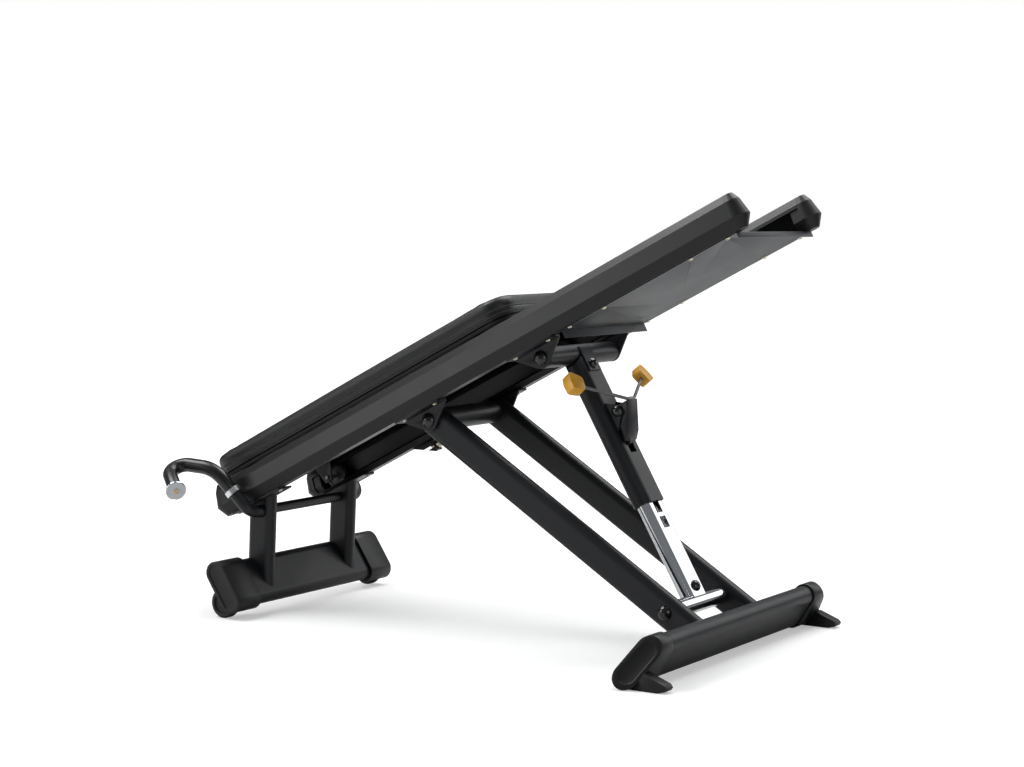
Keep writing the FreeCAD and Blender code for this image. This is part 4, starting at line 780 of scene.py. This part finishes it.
@dataclass
class Studio:
    """White floor, a white surround that the lens sees, soft lights and the camera."""

    azimuth: float = 31.72
    elevation: float = 4.479
    roll: float = 0.604
    distance: float = 5.4672
    lens: float = 76.82
    target: tuple[float, float, float] = (0.0607, 0.0, 0.6149)
    surround: float = 0.20
    floor_glow: float = 0.38
    glow_reach: tuple[float, float] = (1.2, 5.0)

    def build(self) -> None:
        """Set up the floor, the lights and the camera."""
        self._floor()
        self._world()
        self._area("key", (-2.6, -1.2, 4.6), 2.6, 210.0)
        self._area("top", (0.6, 1.8, 4.4), 3.4, 190.0)
        self._area("left_card", (-3.6, -3.6, 2.0), 2.4, 60.0)
        self._area("far_card", (1.9, 3.5, 2.0), 2.4, 27.0)
        self._area("side", (4.4, -2.2, 1.6), 1.8, 26.0)
        self._camera()

    def _floor(self) -> None:
        """A wide white floor that glows to the lens only, and more so far away."""
        clear_selection()
        bpy.ops.mesh.primitive_cylinder_add(vertices=96, radius=40.0, depth=0.05,
                                            location=(0.0, 0.0, -0.025))
        floor = start_piece("studio_floor")
        soften(floor, 0.01, 2)
        PAINT.paint(floor, Finish("studio_white", (0.66, 0.66, 0.66), (0.68, 0.68, 0.68),
                                  rough=(0.7, 0.8), specular=0.1))
        tree = floor.data.materials[0].node_tree
        shader = tree.nodes["Principled BSDF"]
        shader.inputs["Emission Color"].default_value = (1.0, 1.0, 1.0, 1.0)
        place = tree.nodes.new("ShaderNodeTexCoord").outputs["Object"]
        distance = tree.nodes.new("ShaderNodeVectorMath")
        distance.operation = "LENGTH"
        tree.links.new(place, distance.inputs[0])
        glow = tree.nodes.new("ShaderNodeMapRange")
        glow.interpolation_type = "SMOOTHSTEP"
        glow.inputs["From Min"].default_value = self.glow_reach[0]
        glow.inputs["From Max"].default_value = self.glow_reach[1]
        glow.inputs["To Min"].default_value = self.floor_glow
        glow.inputs["To Max"].default_value = 1.0
        tree.links.new(distance.outputs["Value"], glow.inputs["Value"])
        seen = tree.nodes.new("ShaderNodeMath")
        seen.operation = "MULTIPLY"
        straight = tree.nodes.new("ShaderNodeLightPath").outputs["Is Camera Ray"]
        tree.links.new(glow.outputs["Result"], seen.inputs[0])
        tree.links.new(straight, seen.inputs[1])
        tree.links.new(seen.outputs["Value"], shader.inputs["Emission Strength"])

    def _world(self) -> None:
        """White straight to the lens, but only a dim grey to light the bench."""
        world = bpy.data.worlds.new("white_surround")
        world.use_nodes = True
        tree = world.node_tree
        dim = tree.nodes["Background"]
        dim.inputs["Color"].default_value = (0.92, 0.96, 1.0, 1.0)
        dim.inputs["Strength"].default_value = self.surround
        white = tree.nodes.new("ShaderNodeBackground")
        white.inputs["Color"].default_value = (1.0, 1.0, 1.0, 1.0)
        white.inputs["Strength"].default_value = 1.0
        seen = tree.nodes.new("ShaderNodeLightPath").outputs["Is Camera Ray"]
        mix = tree.nodes.new("ShaderNodeMixShader")
        tree.links.new(seen, mix.inputs["Fac"])
        tree.links.new(dim.outputs["Background"], mix.inputs[1])
        tree.links.new(white.outputs["Background"], mix.inputs[2])
        tree.links.new(mix.outputs["Shader"], tree.nodes["World Output"].inputs["Surface"])
        bpy.context.scene.world = world
        bpy.context.scene.view_settings.view_transform = "Standard"

    def _area(self, name: str, place: Sequence[float], side: float, power: float) -> None:
        """A square soft light that points at the bench."""
        data = bpy.data.lights.new(name, "AREA")
        data.size = side
        data.energy = power
        light = bpy.data.objects.new(name, data)
        light.location = place
        aim = Vector(self.target) - Vector(place)
        light.rotation_euler = aim.to_track_quat("-Z", "Y").to_euler()
        bpy.context.collection.objects.link(light)

    def _camera(self) -> None:
        """The camera, its roll included."""
        bearing = math.radians(self.azimuth)
        height = math.radians(self.elevation)
        back = Vector((math.sin(bearing) * math.cos(height), -math.cos(bearing) * math.cos(height),
                       math.sin(height)))
        right = (-back).cross(Vector((0.0, 0.0, 1.0))).normalized()
        turn = Matrix.Rotation(math.radians(self.roll), 3, back)
        right = turn @ right
        up = back.cross(right)
        data = bpy.data.cameras.new("camera")
        data.lens = self.lens
        data.clip_end = 200.0
        camera = bpy.data.objects.new("camera", data)
        basis = Matrix((right, up, back)).transposed().to_4x4()
        camera.matrix_world = Matrix.Translation(Vector(self.target) + back * self.distance) @ basis
        bpy.context.collection.objects.link(camera)
        bpy.context.scene.camera = camera


# ---------------------------------------------------------------- the whole bench

TURNED_EDGE = 50.0
TURNED_SHADE = 60.0
SOFTENED: tuple[Softened, ...] = (
    Softened("leg_brackets", 0.0010),
    Softened("column_brackets", 0.0010),
    Softened("post_saddles", 0.0010),
    Softened("wheel_cover_right", 0.006),
    Softened("wheel_cover_left", 0.006),
    Softened("rear_cap_right", 0.004),
    Softened("rear_cap_left", 0.004),
    Softened("rear_feet", 0.004),
    Softened("latch_lever", 0.0014),
    Softened("latch_bracket", 0.0008),
    Softened("underside_panel", 0.0006),
    Softened("accessory_bracket", 0.0008),
    Softened("paddle_right", 0.005),
    Softened("paddle_left", 0.005),
    Softened("pad_board", 0.0015),
    Softened("carriers", 0.0010),
    Softened("pivot_bolts", 0.0005, TURNED_EDGE, TURNED_SHADE),
    Softened("foot_bolts", 0.0005, TURNED_EDGE, TURNED_SHADE),
    Softened("column_saddle_bolt", 0.0004, TURNED_EDGE, TURNED_SHADE),
    Softened("column_foot_bolt", 0.0004, TURNED_EDGE, TURNED_SHADE),
    Softened("latch_pin", 0.0004, TURNED_EDGE, TURNED_SHADE),
    Softened("handle_tube_right", 0.0006, TURNED_EDGE, TURNED_SHADE),
    Softened("handle_tube_left", 0.0006, TURNED_EDGE, TURNED_SHADE),
    Softened("grip_right", 0.0010, TURNED_EDGE, TURNED_SHADE),
    Softened("grip_left", 0.0010, TURNED_EDGE, TURNED_SHADE),
)


def main() -> None:
    """Dress and build the bench, then light it."""
    logging.basicConfig(level=logging.INFO, format="%(message)s")
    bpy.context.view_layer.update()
    PAINT.dress_cad()
    for item in SOFTENED:
        item.build()
    GlidePad().build()
    for side in (-1, 1):
        GripEnd(side).build()
    Studio().build()
    bpy.context.view_layer.update()


if __name__ == "__main__":
    main()
